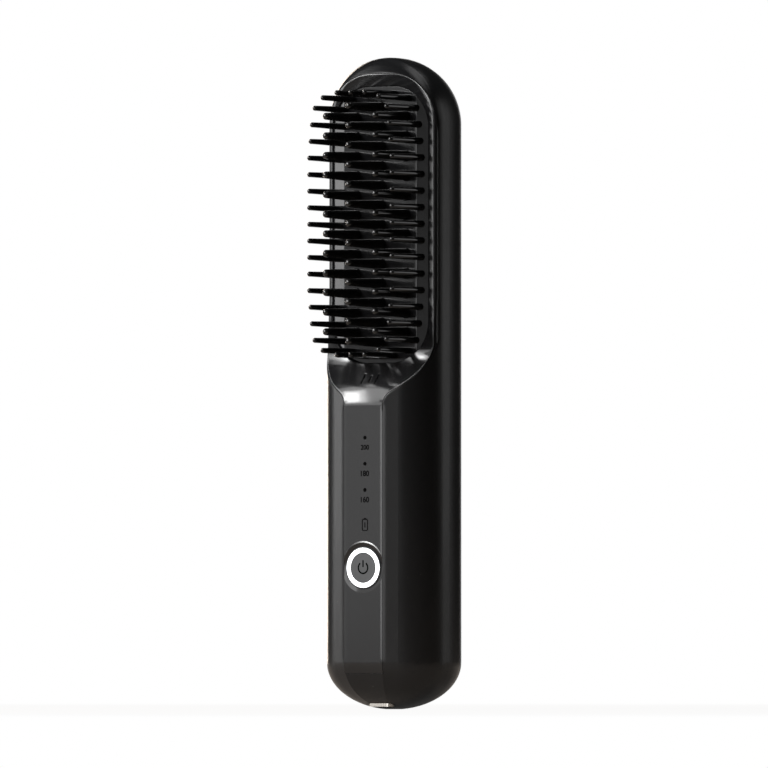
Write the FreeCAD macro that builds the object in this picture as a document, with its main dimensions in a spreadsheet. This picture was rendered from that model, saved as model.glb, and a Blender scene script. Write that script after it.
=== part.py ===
import FreeCAD, Part
import math
import os
import Sketcher
from FreeCAD import Placement, Rotation, Vector

# A cordless heated hair brush, upright on its handle: +Z runs up its length from the lower end of the
# handle, +X is to the right, and the bristles and the button face -Y. Lengths are in millimetres.

doc = FreeCAD.newDocument("heated_brush")
sheet = doc.addObject("Spreadsheet::Sheet", "Sizes")

SIZES = [
    ("body_length", 200.0),
    ("body_radius", 20.7),
    ("wall", 1.8),
    ("facet_inset", 4.2),
    ("strip_width", 14.2),
    ("chamfer_angle", 20.0),
    ("chamfer_width", 5.0),
    ("base_dome_height", 14.4),
    ("strip_start", 11.0),
    ("strip_top", 93.0),
    ("cover_thickness", 1.8),
    ("cover_gap", 0.1),
    ("ramp_thickness", 2.4),
    ("flare_angle", 57.0),
    ("flare_inner_radius", 5.0),
    ("flare_outer_radius", 17.0),
    ("head_rim", 0.6),
    ("head_rim_top", 5.2),
    ("head_corner_radius", 16.0),
    ("head_corner", 2.5),
    ("corner_run", 13.0),
    ("bed_start", 106.1),
    ("bed_top_margin", 9.1),
    ("bed_half_width", 17.8),
    ("bed_corner_radius", 13.0),
    ("bed_depth", 13.7),
    ("bed_recess", 0.2),
    ("bed_thickness", 2.0),
    ("bed_gap", 0.15),
    ("ledge_width", 0.8),
    ("ledge_thickness", 1.6),
    ("frame_wall", 1.6),
    ("slit_width", 0.5),
    ("slit_length", 3.0),
    ("slit_pitch", 2.5),
    ("slit_height", 101.2),
    ("bristle_row_margin", 6.84),
    ("bristle_column", 15.4),
    ("bristle_base_diameter", 2.1),
    ("bristle_tip_diameter", 1.6),
    ("bristle_length", 16.8),
    ("bristle_end_x", 5.2),
    ("bristle_end_margin", 2.3),
    ("bristle_corner_x", 10.4),
    ("bristle_corner_margin", 3.7),
    ("tooth_row_margin", 6.4),
    ("tooth_column", 9.2),
    ("tooth_core", 2.1),
    ("tooth_tip_core", 1.5),
    ("tooth_length", 18.0),
    ("tooth_side_drop", 0.9),
    ("peg_diameter", 1.4),
    ("peg_length", 1.5),
    ("peg_clearance", 0.1),
    ("gasket_thickness", 0.4),
    ("gasket_width", 1.2),
    ("plate_thickness", 2.0),
    ("plate_margin", 1.4),
    ("heater_width", 12.0),
    ("heater_margin", 12.4),
    ("heater_thickness", 2.4),
    ("film_thickness", 0.2),
    ("clamp_width", 30.0),
    ("clamp_margin", 17.4),
    ("clamp_thickness", 0.8),
    ("clamp_screw_x", 12.9),
    ("clamp_screw_margin", 22.4),
    ("shield_width", 27.0),
    ("shield_margin", 5.4),
    ("shield_thickness", 0.6),
    ("shield_gap", 2.6),
    ("shield_post_x", 10.5),
    ("shield_post_margin", 11.4),
    ("shield_post_diameter", 4.0),
    ("sensor_diameter", 1.8),
    ("sensor_inset", 1.05),
    ("sensor_drop", 1.0),
    ("fuse_drop", 4.0),
    ("sensor_length", 4.5),
    ("fuse_diameter", 2.6),
    ("fuse_length", 9.0),
    ("button_height", 43.3),
    ("button_diameter", 13.0),
    ("button_clearance", 0.1),
    ("button_travel", 0.5),
    ("button_disc", 1.4),
    ("button_flange", 0.8),
    ("button_flange_thickness", 0.6),
    ("button_skirt", 1.0),
    ("button_edge", 0.25),
    ("ring_outer_diameter", 12.2),
    ("ring_inner_diameter", 9.4),
    ("ring_depth", 0.8),
    ("ring_clearance", 0.03),
    ("well_diameter", 15.5),
    ("well_depth", 0.35),
    ("board_gap", 2.5),
    ("board_inset", 0.15),
    ("board_length", 64.0),
    ("board_start", 28.0),
    ("board_thickness", 1.2),
    ("switch_width", 5.2),
    ("switch_height", 1.4),
    ("stem_diameter", 2.0),
    ("stem_clearance", 0.08),
    ("stem_floor", 0.15),
    ("shroud_clearance", 0.4),
    ("shroud_wall", 0.8),
    ("shroud_height", 1.5),
    ("led_width", 1.6),
    ("led_height", 0.8),
    ("led_thickness", 0.6),
    ("led_circle", 4.9),
    ("lens_diameter", 1.1),
    ("lens_flange_diameter", 2.4),
    ("lens_flange", 0.6),
    ("lens_clearance", 0.05),
    ("lens_first", 67.1),
    ("lens_pitch", 8.0),
    ("lens_led_gap", 0.3),
    ("lens_shift", 0.7),
    ("sign_height", 56.4),
    ("sign_width", 2.2),
    ("sign_length", 3.6),
    ("cell_diameter", 21.0),
    ("cell_length", 70.0),
    ("cell_start", 19.5),
    ("cell_clearance", 0.15),
    ("cradle_wall", 1.0),
    ("cradle_gap", 0.1),
    ("tab_width", 6.0),
    ("tab_thickness", 0.3),
    ("tab_reach", 1.0),
    ("pad_thickness", 0.8),
    ("boss_diameter", 4.4),
    ("screw_diameter", 2.0),
    ("screw_hole_clearance", 0.05),
    ("screw_head_diameter", 3.6),
    ("screw_head_height", 1.2),
    ("screw_socket", 1.2),
    ("bed_screw_depth", 1.4),
    ("board_screw_x", 4.6),
    ("board_screw_low", 31.5),
    ("board_screw_high", 89.0),
    ("usb_width", 8.94),
    ("usb_height", 3.26),
    ("usb_depth", 7.3),
    ("usb_wall", 0.3),
    ("usb_inset", 6.4),
    ("usb_start", 0.8),
    ("usb_clearance", 0.15),
    ("usb_tongue_width", 6.7),
    ("usb_tongue_thickness", 0.7),
    ("usb_tongue_setback", 1.2),
    ("usb_board_width", 15.0),
    ("usb_board_length", 12.0),
    ("usb_board_thickness", 1.0),
    ("usb_board_start", 4.0),
    ("usb_rail_width", 1.6),
    ("chip_width", 5.0),
    ("chip_thickness", 0.9),
    ("chip_height", 56.0),
    ("power_parts_clearance", 1.55),
    ("power_parts_height", 66.0),
    ("mosfet_width", 5.0),
    ("mosfet_length", 6.0),
    ("mosfet_thickness", 1.1),
    ("inductor_width", 7.0),
    ("inductor_height", 3.6),
    ("capacitor_diameter", 4.0),
    ("capacitor_height", 5.0),
    ("capacitor_pitch", 5.0),
    ("capacitor_first", 45.0),
    ("capacitor_clearance", 1.15),
    ("lead_diameter", 1.2),
    ("sensor_lead_diameter", 0.7),
    ("solder_gap", 0.02),
    ("lead_step", 3.0),
    ("lead_turn", 4.0),
    ("usb_lead_turn", 2.0),
    ("usb_lead_clearance", 0.3),
    ("lead_spread", 2.0),
    ("cell_lead_drop", 14.0),
    ("head_lead_drop", 6.0),
]

for row, (alias, value) in enumerate(SIZES, start=1):
    sheet.set(f"A{row}", alias.replace("_", " "))
    sheet.set(f"B{row}", str(value))
    sheet.setAlias(f"B{row}", alias)
doc.recompute()


def size(alias):
    return float(sheet.get(alias))


FRONT = Rotation(Vector(1, 0, 0), 90)
NODES = {}


def node(obj, label):
    """Gives a finished piece its label, which names its file."""
    obj.Label = label
    NODES[label] = obj
    return obj


def place(obj, x="0", y="0", z="0", turn=Rotation()):
    """Puts an object at a place whose coordinates are bound to the sheet."""
    obj.Placement = Placement(Vector(0, 0, 0), turn)
    obj.setExpression("Placement.Base.x", x)
    obj.setExpression("Placement.Base.y", y)
    obj.setExpression("Placement.Base.z", z)
    return obj


def disc(name, diameter, depth, x="0", y="0", z="0", turn=FRONT):
    """A cylinder that stands on (x, y, z) and runs towards the front, or as turned."""
    obj = doc.addObject("Part::Cylinder", name)
    obj.setExpression("Radius", f"({diameter}) / 2")
    obj.setExpression("Height", depth)
    return place(obj, x, y, z, turn)


def taper(name, base, tip, depth, x="0", y="0", z="0", turn=FRONT):
    """A cone that stands on (x, y, z) with its base and tip diameters."""
    obj = doc.addObject("Part::Cone", name)
    obj.setExpression("Radius1", f"({base}) / 2")
    obj.setExpression("Radius2", f"({tip}) / 2")
    obj.setExpression("Height", depth)
    return place(obj, x, y, z, turn)


def ball(name, diameter, x="0", y="0", z="0"):
    obj = doc.addObject("Part::Sphere", name)
    obj.setExpression("Radius", f"({diameter}) / 2")
    return place(obj, x, y, z)


def block(name, width, depth, height, x="0", y="0", z="0"):
    """A box centred on x, from y backwards by depth and from z upwards by height."""
    obj = doc.addObject("Part::Box", name)
    obj.setExpression("Length", width)
    obj.setExpression("Width", depth)
    obj.setExpression("Height", height)
    return place(obj, f"({x}) - ({width}) / 2", y, z)


def cut(name, base, tool):
    obj = doc.addObject("Part::Cut", name)
    obj.Base = base
    obj.Tool = tool
    return obj


def fuse(name, pieces):
    obj = doc.addObject("Part::MultiFuse", name)
    obj.Shapes = pieces
    return obj


def solid(name, shape):
    """A piece whose shape is worked out here from the sheet's sizes."""
    obj = doc.addObject("Part::Feature", name)
    obj.Shape = shape
    obj.Placement = Placement()
    return obj


def group(name, shapes):
    """Separate solids that share one node."""
    return solid(name, Part.makeCompound(shapes))


def sheet_body(name, width, height, depth, x="0", y="0", z="0"):
    """A flat sheet padded from a centred rectangle: width along X, height along Z, depth to the front."""
    body = doc.addObject("PartDesign::Body", name)
    plane = next(f for f in body.Origin.OriginFeatures if f.Role == "XZ_Plane")
    sketch = body.newObject("Sketcher::SketchObject", name + "_outline")
    sketch.AttachmentSupport = [(plane, "")]
    sketch.MapMode = "FlatFace"
    corners = [Vector(-1, -1, 0), Vector(1, -1, 0), Vector(1, 1, 0), Vector(-1, 1, 0)]
    for i in range(4):
        sketch.addGeometry(Part.LineSegment(corners[i], corners[(i + 1) % 4]), False)
    for i in range(4):
        sketch.addConstraint(Sketcher.Constraint("Coincident", i, 2, (i + 1) % 4, 1))
    sketch.addConstraint(Sketcher.Constraint("Horizontal", 0))
    sketch.addConstraint(Sketcher.Constraint("Horizontal", 2))
    sketch.addConstraint(Sketcher.Constraint("Vertical", 1))
    sketch.addConstraint(Sketcher.Constraint("Vertical", 3))
    sketch.addConstraint(Sketcher.Constraint("Symmetric", 0, 1, 1, 2, -1, 1))
    across = sketch.addConstraint(Sketcher.Constraint("DistanceX", 0, 1, 0, 2, 2.0))
    along = sketch.addConstraint(Sketcher.Constraint("DistanceY", 1, 1, 1, 2, 2.0))
    sketch.renameConstraint(across, "across")
    sketch.renameConstraint(along, "along")
    sketch.setExpression("Constraints.across", width)
    sketch.setExpression("Constraints.along", height)
    pad = body.newObject("PartDesign::Pad", name + "_pad")
    pad.Profile = sketch
    pad.setExpression("Length", depth)
    return place(body, x, y, z)


# Places that several pieces share.
radius = size("body_radius")
facet_y = size("facet_inset") - radius
strip_half = size("strip_width") / 2
bed_y = -radius + size("bed_depth")
head_y = bed_y - size("bed_recess")
lean = math.radians(size("chamfer_angle"))
FACET = "(Sizes.facet_inset - Sizes.body_radius)"
COVER_BACK = f"({FACET} + Sizes.cover_thickness)"
BOARD_FRONT = f"({COVER_BACK} + Sizes.board_gap)"
BOARD_BACK = f"({BOARD_FRONT} + Sizes.board_thickness)"
BED = "(Sizes.bed_depth - Sizes.body_radius)"
BED_HIGH = "(Sizes.body_length - Sizes.bed_top_margin)"
BED_Z = f"((Sizes.bed_start + {BED_HIGH}) / 2)"
BED_HALF = f"(({BED_HIGH} - Sizes.bed_start) / 2)"
BED_BACK = f"({BED} + Sizes.bed_thickness)"
PLATE_FRONT = f"({BED_BACK} + Sizes.gasket_thickness)"
PLATE_BACK = f"({PLATE_FRONT} + Sizes.plate_thickness)"
HEATER_FRONT = f"({PLATE_BACK} + Sizes.film_thickness)"
HEATER_BACK = f"({HEATER_FRONT} + Sizes.heater_thickness)"
CLAMP_FRONT = f"({HEATER_BACK} + Sizes.film_thickness)"
CLAMP_BACK = f"({CLAMP_FRONT} + Sizes.clamp_thickness)"
SHIELD_FRONT = f"({CLAMP_BACK} + Sizes.shield_gap)"
SHIELD_BACK = f"({SHIELD_FRONT} + Sizes.shield_thickness)"
CELL_Y = (
    "(Sizes.body_radius - Sizes.wall - Sizes.cradle_gap - Sizes.cradle_wall"
    " - Sizes.cell_clearance - Sizes.cell_diameter / 2)"
)
CRADLE_BORE = "(Sizes.cell_diameter + 2 * Sizes.cell_clearance)"
CRADLE_OUT = f"({CRADLE_BORE} + 2 * Sizes.cradle_wall)"
bed_low = size("bed_start")
bed_high = size("body_length") - size("bed_top_margin")
bed_center = (bed_low + bed_high) / 2
bed_half = (bed_high - bed_low) / 2


# The round body with its faceted front.


def front_corners(inset):
    """Half the facet's width, the chamfer's far end and the side arc, for a wall's depth under the skin."""
    trim = inset * math.tan(lean / 2)
    half = strip_half - trim
    run = size("chamfer_width") - trim
    front = facet_y + inset
    side = radius - inset
    end_x = half + run * math.cos(lean)
    end_y = front + run * math.sin(lean)
    arc = (side - end_x) / (1 - math.sin(lean))
    return half, front, end_x, end_y, arc, side


def body_section(inset, height, scale):
    """A closed section: facet, two chamfers, two side arcs, two short flats and the round back."""
    half, front, end_x, end_y, arc, side = front_corners(inset)
    middle_y = end_y + arc * math.cos(lean)
    middle_x = side - arc
    turn = (math.pi / 2 - lean) / 2
    bow = Vector(middle_x + arc * math.cos(turn), middle_y - arc * math.sin(turn), 0)

    def at(x, y):
        return Vector(x * scale, y * scale, height)

    return Part.Wire(
        [
            Part.makeLine(at(-half, front), at(half, front)),
            Part.makeLine(at(half, front), at(end_x, end_y)),
            Part.Arc(at(end_x, end_y), at(bow.x, bow.y), at(side, middle_y)).toShape(),
            Part.makeLine(at(side, middle_y), at(side, 0)),
            Part.Arc(at(side, 0), at(0, side), at(-side, 0)).toShape(),
            Part.makeLine(at(-side, 0), at(-side, middle_y)),
            Part.Arc(at(-side, middle_y), at(-bow.x, bow.y), at(-end_x, end_y)).toShape(),
            Part.makeLine(at(-end_x, end_y), at(-half, front)),
        ]
    )


DOME_STEPS = [0, 12, 26, 42, 58, 72, 83]


def dome(inset, start, height, direction):
    """An end of the body: the section shrinks along a quarter ellipse, to a small flat at its pole."""
    full = math.sin(math.radians(DOME_STEPS[-1]))
    wires = []
    for step in DOME_STEPS:
        angle = math.radians(step)
        rise = height * math.sin(angle) / full
        wires.append(body_section(inset, start + direction * rise, math.cos(angle)))
    return Part.makeLoft(wires, True, False)


def handle_form(inset, top):
    """The faceted body from its lower dome up to a height, or the hollow a wall's depth under it."""
    low = size("base_dome_height")
    middle = Part.Face(body_section(inset, low, 1.0)).extrude(Vector(0, 0, top - low))
    return dome(inset, low, low - inset, -1).fuse(middle).removeSplitter()


# The head's recessed front, with the scoop that leads down to it from the handle.

cover_half = radius - size("head_rim")
head_top = size("body_length") - size("head_rim_top")
flare = math.radians(size("flare_angle"))
flare_start = size("strip_top")
inner_x = size("flare_inner_radius") * (1 - math.cos(flare))
outer_x = size("flare_outer_radius") * (1 - math.cos(flare))
flare_run = (cover_half - strip_half - inner_x - outer_x) / math.sin(flare)
flare_z = [flare_start]
flare_z.append(flare_z[-1] + size("flare_inner_radius") * math.sin(flare))
flare_z.append(flare_z[-1] + flare_run * math.cos(flare))
flare_z.append(flare_z[-1] + size("flare_outer_radius") * math.sin(flare))


FAR = 60.0
RAMP = (
    (0.0, 0.0), (0.093, 0.025), (0.206, 0.102), (0.299, 0.222), (0.378, 0.366),
    (0.471, 0.538), (0.608, 0.731), (0.745, 0.892), (0.858, 0.978), (1.0, 1.0),
)
RAMP_START = 0.1


def recess(back):
    """All that lies in front of the scoop's ramp, or in front of a ramp so far behind it.

    The ramp's shares of its run and rise are joined by a curve that ends level with the head's front.
    """
    run = flare_z[3] - flare_z[0]
    rise = head_y - facet_y
    points = [Vector(-FAR / 2, facet_y + rise * up + back, flare_z[0] + run * along) for along, up in RAMP]
    curve = Part.BSplineCurve()
    curve.interpolate(Points=points, InitialTangent=Vector(0, RAMP_START, 1), FinalTangent=Vector(0, 0, 1))
    low = Vector(-FAR / 2, -FAR, flare_z[0])
    high = Vector(-FAR / 2, -FAR, flare_z[3])
    outline = [curve.toShape(), Part.makeLine(points[-1], high), Part.makeLine(high, low),
               Part.makeLine(low, points[0])]
    return Part.Face(Part.Wire(outline)).extrude(Vector(FAR, 0, 0))


# The head: a round back and a flat front with rounded corners, turned over at its top.

head_axis = size("body_length") - radius
CORNER_START = 0.15
CORNER_STEPS = (0.0, 0.3, 0.65, 1.0)


def head_half(inset, front, bend):
    """Key points of half the head's section: the flat's end, the corner, the side arc and its far end."""
    half, _, end_x, end_y, arc, side = front_corners(inset)
    middle_x = side - arc
    middle_y = end_y + arc * math.cos(lean)
    bend = min(bend, middle_y - front - CORNER_START)
    ball_y = front + bend
    ball_x = middle_x + math.sqrt((arc - bend) ** 2 - (ball_y - middle_y) ** 2)
    reach = math.atan2(ball_y - middle_y, ball_x - middle_x)
    turn = (reach - math.pi / 2) / 2
    return {
        "flat": (ball_x, front),
        "corner": (ball_x + bend * math.cos(turn), ball_y + bend * math.sin(turn)),
        "touch": (middle_x + arc * math.cos(reach), middle_y + arc * math.sin(reach)),
        "bow": (middle_x + arc * math.cos(reach / 2), middle_y + arc * math.sin(reach / 2)),
        "side": (side, middle_y),
        "back": (side, 0.0),
    }


def head_edges(key, height, side):
    """Half the head's section, from its flat front to its widest point, on the right (1) or the left (-1)."""
    at = {name: Vector(side * x, y, height) for name, (x, y) in key.items()}
    return [
        Part.Arc(at["flat"], at["corner"], at["touch"]).toShape(),
        Part.Arc(at["touch"], at["bow"], at["side"]).toShape(),
        Part.makeLine(at["side"], at["back"]),
    ]


def head_section(inset, front, bend, height):
    key = head_half(inset, front, bend)
    wide = key["back"][0]
    flat = key["flat"][0]
    slant = wide * math.sqrt(0.5)
    pole = Vector(0, wide, height)
    round_back = [
        Part.Arc(Vector(wide, 0, height), Vector(slant, slant, height), pole).toShape(),
        Part.Arc(pole, Vector(-slant, slant, height), Vector(-wide, 0, height)).toShape(),
    ]
    left = head_edges(key, height, -1)
    left.reverse()
    front_line = Part.makeLine(Vector(-flat, front, height), Vector(flat, front, height))
    return Part.Wire([front_line] + head_edges(key, height, 1) + round_back + left)


def head_form(inset, front):
    """The head above the scoop: its corners round off over a short run, and its top is half turned over."""
    full = size("head_corner") - inset
    run = size("corner_run")
    wires = []
    for share in CORNER_STEPS:
        bend = CORNER_START + (full - CORNER_START) * share
        wires.append(head_section(inset, front, bend, flare_z[3] + run * share))
    rounding = Part.makeLoft(wires, True, False)
    straight_start = flare_z[3] + run
    straight = Part.Face(head_section(inset, front, full, straight_start))
    straight = straight.extrude(Vector(0, 0, head_axis - straight_start))
    key = head_half(inset, front, full)
    wide = key["back"][0]
    slant = wide * math.sqrt(0.5)
    pole = Vector(0, wide, head_axis)
    quarter = Part.Arc(Vector(wide, 0, head_axis), Vector(slant, slant, head_axis), pole)
    axis_line = Part.makeLine(pole, Vector(0, front, head_axis))
    front_line = Part.makeLine(Vector(0, front, head_axis), Vector(key["flat"][0], front, head_axis))
    profile = Part.Wire([front_line] + head_edges(key, head_axis, 1) + [quarter.toShape(), axis_line])
    turned = Part.Face(profile).revolve(Vector(0, 0, head_axis), Vector(0, -1, 0), 180)
    return rounding.fuse([straight, turned])


def rounded_outline(half_width, low, high, corner, depth):
    """A rounded rectangle in the plane Y = depth."""
    slant = corner * (1 - math.sqrt(0.5))

    def at(x, z):
        return Vector(x, depth, z)

    edges = []
    for sx, sz, end in ((1, 1, high), (-1, 1, high), (-1, -1, low), (1, -1, low)):
        first = at(sx * half_width, end - sz * corner)
        bow = at(sx * (half_width - slant), end - sz * slant)
        last = at(sx * (half_width - corner), end)
        if sx * sz < 0:
            first, last = last, first
        edges.append(Part.Arc(first, bow, last).toShape())
    lines = []
    for edge, following in zip(edges, edges[1:] + edges[:1]):
        lines.append(Part.makeLine(edge.Vertexes[-1].Point, following.Vertexes[0].Point))
    return Part.Wire([piece for pair in zip(edges, lines) for piece in pair])


def bed_prism(grow, front, back):
    """The bed's outline, grown by a margin, from one depth to another."""
    corner = size("bed_corner_radius") + grow
    wire = rounded_outline(size("bed_half_width") + grow, bed_low - grow, bed_high + grow, corner, front)
    return Part.Face(wire).extrude(Vector(0, back - front, 0))


def cover_prism(grow):
    """The cover's outline from the front: the strip, its flare and the head with its round top."""
    half = strip_half + grow
    wide = cover_half + grow
    bottom = size("strip_start") - grow
    top = head_top + grow
    corner = size("head_corner_radius") + grow
    slant = corner * (1 - math.sqrt(0.5))
    inner = size("flare_inner_radius") - grow
    outer = size("flare_outer_radius") + grow
    low_z = flare_z[0]
    high_z = flare_z[3]
    turn = flare / 2

    def at(x, z):
        return Vector(x, -FAR, z)

    start = at(half, low_z)
    bend_in = at(half + inner * (1 - math.cos(turn)), low_z + inner * math.sin(turn))
    run_in = at(half + inner * (1 - math.cos(flare)), low_z + inner * math.sin(flare))
    run_out = at(wide - outer * (1 - math.cos(flare)), high_z - outer * math.sin(flare))
    bend_out = at(wide - outer * (1 - math.cos(turn)), high_z - outer * math.sin(turn))
    side = at(wide, high_z)
    shoulder = at(wide, top - corner)
    crown = at(wide - slant, top - slant)
    peak = at(wide - corner, top)

    def across(point):
        return Vector(-point.x, point.y, point.z)

    right = [
        Part.makeLine(at(half, bottom), start),
        Part.Arc(start, bend_in, run_in).toShape(),
        Part.makeLine(run_in, run_out),
        Part.Arc(run_out, bend_out, side).toShape(),
        Part.makeLine(side, shoulder),
        Part.Arc(shoulder, crown, peak).toShape(),
    ]
    left = [
        Part.Arc(across(peak), across(crown), across(shoulder)).toShape(),
        Part.makeLine(across(shoulder), across(side)),
        Part.Arc(across(side), across(bend_out), across(run_out)).toShape(),
        Part.makeLine(across(run_out), across(run_in)),
        Part.Arc(across(run_in), across(bend_in), across(start)).toShape(),
        Part.makeLine(across(start), at(-half, bottom)),
    ]
    edges = right + [Part.makeLine(peak, across(peak))] + left
    edges.append(Part.makeLine(at(-half, bottom), at(half, bottom)))
    return Part.Face(Part.Wire(edges)).extrude(Vector(0, FAR + radius, 0))


def cover_zone(grow, back, frame_back):
    """Where the cover lies: its outline, down to a depth behind the strip, the scoop and the head's front."""
    bottom = size("strip_start") - grow
    ramp_back = back + size("ramp_thickness") - size("cover_thickness")
    strip = Part.makeBox(FAR, FAR + facet_y + back, flare_z[0] - bottom, Vector(-FAR / 2, -FAR, bottom))
    frame_low = bed_low - size("bed_gap") - size("frame_wall") - grow
    frame = Part.makeBox(FAR, FAR + frame_back, size("body_length"), Vector(-FAR / 2, -FAR, frame_low))
    outline = cover_prism(grow)
    pieces = [outline.common(zone) for zone in (strip, recess(ramp_back), frame)]
    return pieces[0].fuse(pieces[1:]).removeSplitter()


outer_form = handle_form(0.0, flare_z[3]).cut(recess(0.0)).fuse(head_form(0.0, head_y))
hollow_low = handle_form(size("wall"), flare_z[3]).cut(recess(size("ramp_thickness")))
hollow = hollow_low.fuse(head_form(size("wall"), head_y + size("cover_thickness")))
frame_back = bed_y + size("bed_thickness") + size("ledge_thickness")


def across_pair(shape):
    """A shape with its mirror image across the body's middle plane."""
    return [shape, shape.mirror(Vector(0, 0, 0), Vector(1, 0, 0))]


def rod(diameter, front, back, x, z):
    """A cylinder along Y between two depths."""
    return Part.makeCylinder(diameter / 2, back - front, Vector(x, front, z), Vector(0, 1, 0))


def value(expression):
    """The number that an expression over the sheet stands for."""
    return float(sheet.evalExpression(expression))


screw_hole = size("screw_diameter") + 2 * size("screw_hole_clearance")
shield_back = value(SHIELD_BACK)
shield_front = value(SHIELD_FRONT)
clamp_back = value(CLAMP_BACK)
plate_front = value(PLATE_FRONT)
plate_back = value(PLATE_BACK)
bed_back = value(BED_BACK)
board_front = value(BOARD_FRONT)
board_back = value(BOARD_BACK)
cover_back = value(COVER_BACK)
usb_y = -size("usb_inset")
usb_board_front = usb_y + size("usb_height") / 2
usb_board_back = usb_board_front + size("usb_board_thickness")

shield_spots = [
    (sx * size("shield_post_x"), bed_center + sz * (bed_half - size("shield_post_margin")))
    for sx in (1, -1)
    for sz in (1, -1)
]
clamp_spots = [
    (sx * size("clamp_screw_x"), bed_center + sz * (bed_half - size("clamp_screw_margin")))
    for sx in (1, -1)
    for sz in (1, -1)
]
board_spots = [
    (sx * size("board_screw_x"), height)
    for sx in (1, -1)
    for height in (size("board_screw_low"), size("board_screw_high"))
]


def usb_slug(grow, low, high):
    """The charging socket's flat-sided round section, grown by a margin, between two heights."""
    half = size("usb_width") / 2 + grow
    end = size("usb_height") / 2 + grow
    straight = half - end

    def at(x, y):
        return Vector(x, usb_y + y, low)

    wire = Part.Wire(
        [
            Part.makeLine(at(-straight, -end), at(straight, -end)),
            Part.Arc(at(straight, -end), at(half, 0), at(straight, end)).toShape(),
            Part.makeLine(at(straight, end), at(-straight, end)),
            Part.Arc(at(-straight, end), at(-half, 0), at(-straight, -end)).toShape(),
        ]
    )
    return Part.Face(wire).extrude(Vector(0, 0, high - low))


# The rear housing: the shell, its shield posts and the rails of the charging board.

SCREW_GRIP = 3.0
HOLE_SPARE = 0.6


def rear_housing():
    gap = size("cover_gap")
    pocket = cover_zone(gap, size("cover_thickness") + gap, frame_back + gap)
    shell = outer_form.cut([hollow, pocket])
    supports = []
    for x, z in shield_spots:
        post = rod(size("shield_post_diameter"), shield_back, radius, x, z)
        hole_end = shield_back + SCREW_GRIP + HOLE_SPARE
        supports.append(post.cut(rod(screw_hole, shield_back, hole_end, x, z)))
    rail_x = size("usb_board_width") / 2 - size("usb_rail_width")
    rail_top = size("usb_board_start") + size("usb_board_length")
    rail = Part.makeBox(size("usb_rail_width"), size("usb_rail_width"), rail_top,
                        Vector(rail_x, usb_board_back, 0))
    supports += across_pair(rail)
    inside = [piece.common(outer_form) for piece in supports]
    shell = shell.fuse(inside)
    return shell.cut(usb_slug(size("usb_clearance"), -1.0, size("usb_depth"))).removeSplitter()


node(solid("rear_housing", rear_housing()), "rear_housing")


# The front cover: the handle's strip, the scoop and the frame round the bed.


def lens_heights():
    return [size("lens_first") + i * size("lens_pitch") for i in range(3)]


def slits():
    """Three upright slits in the scoop, the middle one shorter."""
    cutters = []
    for place_in_row, share in ((-1, 1.0), (0, MIDDLE_SLIT), (1, 1.0)):
        length = size("slit_length") * share
        left = place_in_row * size("slit_pitch") - size("slit_width") / 2
        corner = Vector(left, -FAR, size("slit_height") - length / 2)
        cutters.append(Part.makeBox(size("slit_width"), FAR, length, corner))
    return cutters


BOSS_ROOT = 0.5
HOLE_ROOT = 0.3
MIDDLE_SLIT = 0.63


def front_cover():
    plate = outer_form.common(cover_zone(0.0, size("cover_thickness"), frame_back))
    plate = plate.cut(bed_prism(size("bed_gap"), -FAR, bed_back))
    plate = plate.cut(bed_prism(-size("ledge_width"), bed_back - BOSS_ROOT, radius))
    for x, z in board_spots:
        plate = plate.fuse(rod(size("boss_diameter"), cover_back - BOSS_ROOT, board_front, x, z))
    cutters = slits()
    for x, z in board_spots:
        cutters.append(rod(screw_hole, cover_back + HOLE_ROOT, board_front + BOSS_ROOT, x, z))
    hole = size("button_diameter") + 2 * size("button_clearance")
    cutters.append(rod(hole, -FAR, 0.0, 0.0, size("button_height")))
    well = Part.makeCone(size("well_diameter") / 2, hole / 2, size("well_depth"),
                         Vector(0, facet_y, size("button_height")), Vector(0, 1, 0))
    cutters.append(well)
    pipe = size("lens_diameter") + 2 * size("lens_clearance")
    for height in lens_heights():
        cutters.append(rod(pipe, -FAR, 0.0, size("lens_shift"), height))
    window = size("sign_width") + 2 * size("lens_clearance")
    tall = size("sign_length") + 2 * size("lens_clearance")
    window_corner = Vector(size("lens_shift") - window / 2, -FAR, size("sign_height") - tall / 2)
    cutters.append(Part.makeBox(window, FAR, tall, window_corner))
    return plate.cut(cutters).removeSplitter()


node(solid("front_cover", front_cover()), "front_cover")


# The bristle bed, its cool edge bristles and the heated teeth.

EDGE_DRAW_IN = (2.0, 1.0, 0.5)
EDGE_COUNT = 15
MIDDLE_TEETH = 13
SIDE_TEETH = 12
TOOTH_BASE = 0.2167
TOOTH_TIP = 0.1167
bristle_pitch = 2 * (bed_half - size("bristle_row_margin")) / (EDGE_COUNT - 1)
tooth_pitch = 2 * (bed_half - size("tooth_row_margin")) / (MIDDLE_TEETH - 1)
tooth_base = size("tooth_core") + TOOTH_BASE * tooth_pitch
tooth_tip = size("tooth_tip_core") + TOOTH_TIP * tooth_pitch


def bristle_spots():
    """The ring of edge bristles: two side columns drawn in at their ends, corners and end rows."""
    spots = []
    for i in range(EDGE_COUNT):
        from_end = min(i, EDGE_COUNT - 1 - i)
        draw_in = EDGE_DRAW_IN[from_end] if from_end < len(EDGE_DRAW_IN) else 0.0
        z = (i - (EDGE_COUNT - 1) / 2) * bristle_pitch
        for side in (1, -1):
            spots.append((side * (size("bristle_column") - draw_in), z))
    for end in (1, -1):
        for side in (1, -1):
            corner_z = bed_half - size("bristle_corner_margin")
            spots.append((side * size("bristle_corner_x"), end * corner_z))
        for step in (-1, 0, 1):
            end_z = bed_half - size("bristle_end_margin")
            spots.append((step * size("bristle_end_x"), end * end_z))
    return [(x, bed_center + z) for x, z in spots]


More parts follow.
